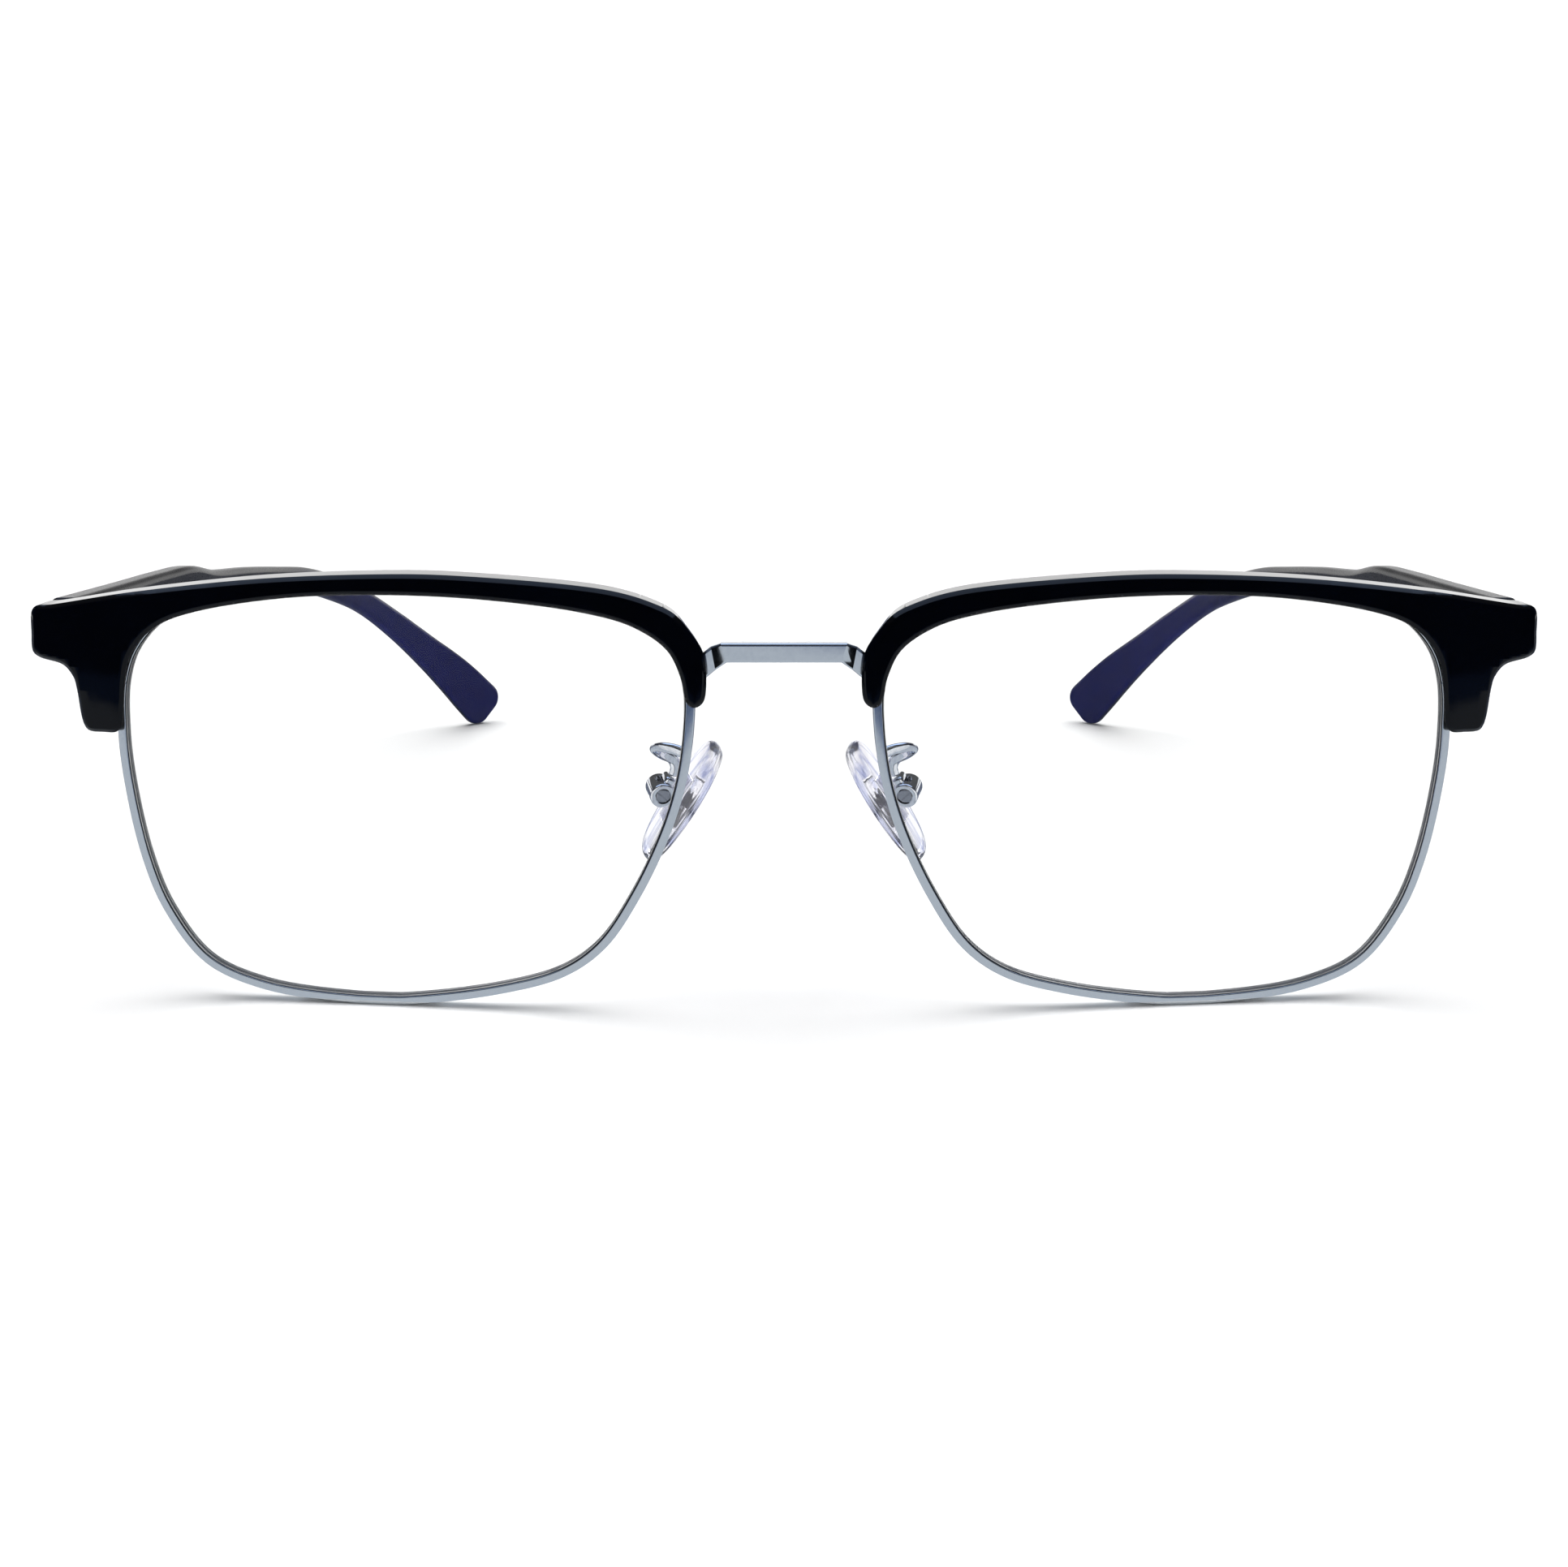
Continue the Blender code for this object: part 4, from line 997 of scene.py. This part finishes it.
def temple_frames(stations):
    """Each station's centre, its direction out of the temple's outer face and its up direction."""
    centres = [Vector((x, y, z)) for y, x, z, _, _ in stations]
    found = []
    for i, centre in enumerate(centres):
        ahead = centres[min(i + 1, len(centres) - 1)]
        behind = centres[max(i - 1, 0)]
        along = (ahead - behind).normalized() if i else Y_AXIS
        out = Vector((along.y, -along.x, 0)).normalized()
        found.append((centre, out, out.cross(along)))
    return found


def temple_section(centre, out, up, height, thickness):
    """A rectangle with rounded corners, across the temple."""
    h = height / 2
    t = thickness / 2
    corner = min(TEMPLE_CORNER, TEMPLE_CORNER_LIMIT * thickness)
    points = fillet(((-t, -h), (t, -h), (t, h), (-t, h)), corner, TEMPLE_CORNER_STEPS)
    return [centre + out * p.x + up * p.y for p in points]


def temple_shape():
    """The temple's smooth body, with softened ends."""
    stations = [tuple(p) for p in smooth_path(TEMPLE_STATIONS, TEMPLE_STEPS)]
    frames = temple_frames(stations)
    _, _, _, height, thickness = stations[0]
    rings = [temple_section(*frames[0], height - 2 * BUTT_EDGE, thickness - 2 * BUTT_EDGE)]
    for i, (centre, out, up) in enumerate(frames):
        _, _, _, height, thickness = stations[i]
        shift = Y_AXIS * BUTT_EDGE if i == 0 else Vector()
        rings.append(temple_section(centre + shift, out, up, height, thickness))
    centre, out, up = frames[-1]
    along = up.cross(out)
    for k in range(1, TIP_STEPS + 1):
        angle = QUARTER_TURN * k / TIP_STEPS
        inset = TIP_ROUND * (1 - math.cos(angle))
        thin = TIP_THINNING * inset / TIP_ROUND * thickness
        middle = centre + along * (TIP_ROUND * math.sin(angle))
        rings.append(temple_section(middle, out, up, height - 2 * inset, thickness - thin))
    return skin(rings)


def paint_navy(made, side):
    """Mask the inner face and the lower edge from the middle of the temple to its tip."""
    mesh = made.data
    mask = mesh.attributes.new("navy", "FLOAT", "POINT")
    for vertex in mesh.vertices:
        along = max(0.0, min(1.0, (vertex.co.y - FRONT_Y - NAVY_START) / NAVY_REACH))
        facing = -vertex.normal.x * side - vertex.normal.z * NAVY_LOWER
        inner = max(0.0, min(1.0, facing * NAVY_SHARPNESS))
        mask.data[vertex.index].value = along * inner


def core_shape(grow, start):
    """The core wire, or the channel round it, along the temple's centre line."""
    frames = temple_frames(TEMPLE_STATIONS)[: CORE_LAST_STATION + 1]
    rings = []
    for i, (centre, out, up) in enumerate(frames):
        along = up.cross(out)
        if i == 0:
            centre = centre + along * start
        if i == CORE_LAST_STATION:
            centre = centre + along * grow
        size = (CORE_HEIGHT / 2 + grow, CORE_THICKNESS / 2 + grow)
        signs = ((1, 1), (1, -1), (-1, -1), (-1, 1))
        rings.append([centre + up * (a * size[0]) + out * (b * size[1]) for a, b in signs])
    return skin(rings)


def make_temple(name, side):
    """The plastic temple with its core wire."""
    body = f"temple_{name}"
    cuts = (core_shape(GAP, CHANNEL_START), box(*TEMPLE_FOOT, grow=GAP))
    made = piece(temple_shape(), f"temple_{name}", body, "temple_plastic", cut=cuts, sharp=TEMPLE_SHARP)
    paint_navy(made, side)
    piece(core_shape(0.0, GAP), f"temple_core_{name}", body, "core_wire", edge=CORE_EDGE)


# ---------------------------------------------------------------- nose pads


def pad_axes():
    """The nose pad's directions: along its length, towards its rear edge, and away from the nose."""
    rear = (PAD_REAR - PAD_UP * PAD_REAR.dot(PAD_UP)).normalized()
    return PAD_UP, rear, rear.cross(PAD_UP)


def pad_pivot():
    """The centre of the pad box, on the screw's axis."""
    return PAD_CENTRE + pad_axes()[2] * PIVOT_OFFSET


def pad_box_shape(low, high, edge=0.0):
    """A box between two corners given along the pad's rear, up and out directions, from its centre."""
    up, rear, out = pad_axes()
    bm = box(low, high, edge)
    columns = Matrix((rear, up, out)).transposed().to_4x4()
    bm.transform(Matrix.Translation(PAD_CENTRE) @ columns)
    return bm


def signed_power(value, power):
    """A power that keeps the sign."""
    return math.copysign(abs(value) ** power, value)


def pad_shape():
    """The soft pad: an oval cushion, dished on the nose side, with fine moulding lines round its edge."""
    up, rear, out = pad_axes()
    rings = []
    for i in range(PAD_STEPS + 1):
        angle = math.pi * (i + PAD_END_SHARE) / (PAD_STEPS + 2 * PAD_END_SHARE)
        along = -math.cos(angle) * PAD_HALF_LENGTH
        width = math.sin(angle) ** PAD_WIDTH_POWER * PAD_HALF_WIDTH
        thick = math.sin(angle) ** PAD_THICKNESS_POWER * PAD_HALF_THICKNESS
        ring = []
        for k in range(PAD_SIDES):
            turn = 2 * math.pi * k / PAD_SIDES
            across = signed_power(math.cos(turn), PAD_ACROSS_POWER)
            rise = signed_power(math.sin(turn), PAD_RISE_POWER)
            seam = 1 - sum(
                depth * math.exp(-(((math.sin(turn) - place) / PAD_GROOVE_WIDTH) ** 2))
                for place, depth in PAD_GROOVES
            )
            dish = PAD_DISH * (1 - across * across) if rise < 0 else 0.0
            ring.append(
                PAD_CENTRE + up * along + rear * (across * width * seam) + out * (thick * (rise + dish))
            )
        rings.append(ring)
    return skin(rings)


def mark_pad_place(made, side):
    """Keep each point's place along the pad's own axes, for the painted dark streaks in its material."""
    up, rear, out = pad_axes()
    place = made.data.attributes.new("pad_place", "FLOAT_VECTOR", "POINT")
    for vertex in made.data.vertices:
        design = Vector((vertex.co.x * side, vertex.co.y - FRONT_Y, vertex.co.z)) - PAD_CENTRE
        place.data[vertex.index].vector = (design.dot(rear), design.dot(out), design.dot(up))


def make_nose_pad(name):
    """The clear pad and the clear core moulded into it, which rock on the screw."""
    body = f"pad_{name}"
    length, width, thick = CORE_PLATE
    low = Vector((-width, -length, CORE_PLATE_OUT - thick))
    high = Vector((width, length, CORE_PLATE_OUT + thick))
    slack = Vector((GAP, GAP, GAP)) * 0.5
    lug_low = (-LUG_HALF - GAP, -LUG_RADIUS - GAP, CORE_PLATE_OUT)
    lug_high = (LUG_HALF + GAP, LUG_RADIUS + GAP, PIVOT_OFFSET)
    cuts = (pad_box_shape(low - slack, high + slack, CORE_POCKET_EDGE), pad_box_shape(lug_low, lug_high))
    pad = piece(pad_shape(), f"nose_pad_{name}", body, "pad_silicone", cut=cuts, sharp=PAD_SHARP)
    mark_pad_place(pad, SIDES[name])
    _, rear, out = pad_axes()
    pivot = pad_pivot()
    lug = tab(LUG_RADIUS, PIVOT_OFFSET - CORE_PLATE_OUT, -LUG_HALF, LUG_HALF, pivot, rear, -out)
    bore = rod(PAD_BORE_RADIUS, -LUG_BORE_HALF, LUG_BORE_HALF, pivot, rear)
    piece(
        pad_box_shape(low, high, CORE_PLATE_EDGE), f"pad_core_{name}", body, "pad_core_clear",
        join=(lug,), cut=(bore,), edge=PAD_METAL_EDGE,
    )


def make_pad_box(name):
    """The round pad box with a neck up to its arm, open towards the pad, and its sunk screw."""
    rear = pad_axes()[1]
    pivot = pad_pivot()
    shape = turned(rounded_profile(BOX_RADIUS, -BOX_HALF_WIDTH, BOX_HALF_WIDTH, BOX_EDGE), pivot, rear)
    reach = LUG_RADIUS + LUG_SLACK
    slot = pad_box_shape((-SLOT_HALF, -SLOT_LOWER, 0.0), (SLOT_HALF, SLOT_UPPER, PIVOT_OFFSET + reach))
    sunk = BOX_HALF_WIDTH - PAD_HEAD_HEIGHT - GAP
    profile = (
        (PAD_HEAD_RADIUS + GAP, -BOX_BORE_HALF), (PAD_HEAD_RADIUS + GAP, -sunk),
        (PAD_BORE_RADIUS, -sunk), (PAD_BORE_RADIUS, BOX_BORE_HALF),
    )
    piece(
        shape, f"pad_box_{name}", "front", "pad_metal",
        join=(pad_box_shape(*NECK, NECK_EDGE),), cut=(slot, turned(profile, pivot, rear)),
        edge=PAD_METAL_EDGE,
    )
    make_screw(
        f"pad_screw_{name}", pivot, -rear, PAD_HEAD_RADIUS, PAD_HEAD_HEIGHT,
        PAD_SCREW_RADIUS, sunk + GAP / 2, -BOX_HALF_WIDTH,
    )


def make_pad_arm(name):
    """The looped wire from the eye wire's back to the pad box."""
    points = smooth_path(ARM_POINTS, ARM_STEPS)
    shape = wire(points, ARM_FLAT_WAY, ARM_RADIUS_WIDE, ARM_RADIUS_THIN)
    piece(shape, f"pad_arm_{name}", "front", "pad_metal", sharp=ARM_SHARP)


# ---------------------------------------------------------------- studio


def make_camera():
    """The camera, looking down on the front at a small angle."""
    data = bpy.data.cameras.new("camera")
    data.lens = CAMERA_LENS
    data.sensor_width = SENSOR
    data.clip_start = CLIP_START
    made = add_object("camera", data)
    made.location = CAMERA_PLACE
    made.rotation_euler = (QUARTER_TURN - CAMERA_PITCH, 0, 0)
    bpy.context.scene.camera = made


def stage_plane(name, size, place, turn=(0, 0, 0)):
    """A flat stage piece, which isn't part of the object."""
    bm = bmesh.new()
    bmesh.ops.create_grid(bm, x_segments=1, y_segments=1, size=0.5)
    bmesh.ops.scale(bm, vec=(size[0], size[1], 1), verts=bm.verts)
    made = add_object(name, mesh_from(bm, name))
    made.location = place
    made.rotation_euler = turn
    return made


def make_floor():
    """A pale matt floor with hardly visible mottling."""
    floor = stage_plane("floor", (6, 6), (0, 0, 0))
    made, tree, shader, place = new_material("floor_paper", (0.9, 0.9, 0.9), 0.9)
    shader.inputs["Specular IOR Level"].default_value = 0.1
    mottle = noise(tree, place, 40, 3.0)
    tree.links.new(mixed(tree, mottle, (0.90, 0.90, 0.90), (0.93, 0.93, 0.93)), shader.inputs["Base Color"])
    floor.data.materials.append(made)


def glow(name, colour, strength):
    """A material that only gives light."""
    made = bpy.data.materials.new(name)
    made.use_nodes = True
    tree = made.node_tree
    tree.nodes.clear()
    light = tree.nodes.new("ShaderNodeEmission")
    light.inputs["Color"].default_value = (*colour, 1.0)
    light.inputs["Strength"].default_value = strength
    out = tree.nodes.new("ShaderNodeOutputMaterial")
    tree.links.new(light.outputs["Emission"], out.inputs["Surface"])
    return made


def make_card(name, size, place, turn, colour):
    """A card that shows only in reflections."""
    card = stage_plane(name, size, place, turn)
    card.data.materials.append(glow(name, colour, 1.0))
    card.visible_camera = False
    card.visible_diffuse = False
    card.visible_transmission = False
    card.visible_shadow = False


def make_sun():
    """A wide soft light from above and a little behind, which reflections don't show."""
    data = bpy.data.lights.new("soft_sky_light", "SUN")
    data.energy = SUN_POWER
    data.angle = SUN_WIDTH
    data.color = (1.0, 1.0, 1.0)
    made = add_object("soft_sky_light", data)
    made.rotation_euler = (SUN_TILT, 0, 0)
    made.visible_glossy = False


def make_world():
    """A white room: bright near the horizon, dim above, so that rounded edges show a dark line."""
    world = bpy.data.worlds.new("studio")
    bpy.context.scene.world = world
    world.use_nodes = True
    tree = world.node_tree
    background = tree.nodes["Background"]
    place = tree.nodes.new("ShaderNodeTexCoord").outputs["Generated"]
    split = tree.nodes.new("ShaderNodeSeparateXYZ")
    tree.links.new(place, split.inputs["Vector"])
    fade = remap(tree, split.outputs["Z"], WORLD_FADE, *WORLD_STRENGTH, "SMOOTHSTEP")
    tree.links.new(fade, background.inputs["Strength"])
    background.inputs["Color"].default_value = (1.0, 1.0, 1.0, 1.0)


def make_studio():
    """Floor, soft light and the cards that the metal and the plastic reflect."""
    make_floor()
    make_world()
    make_sun()
    for name, size, place, turn, colour in CARDS:
        make_card(name, size, place, turn, colour)
    bpy.context.scene.view_settings.view_transform = "Standard"


# ---------------------------------------------------------------- the whole


def make_side(name, side):
    """Every piece of one side."""
    make_rim(name)
    make_lens(name)
    make_brow(name)
    make_rim_lock(name)
    make_pad_arm(name)
    make_pad_box(name)
    make_nose_pad(name)
    make_front_hinge(name)
    make_hinge_screw(name)
    make_temple_hinge(name)
    make_temple(name, side)


make_camera()
make_bridge()
for side_name, side_sign in SIDES.items():
    make_side(side_name, side_sign)
make_studio()
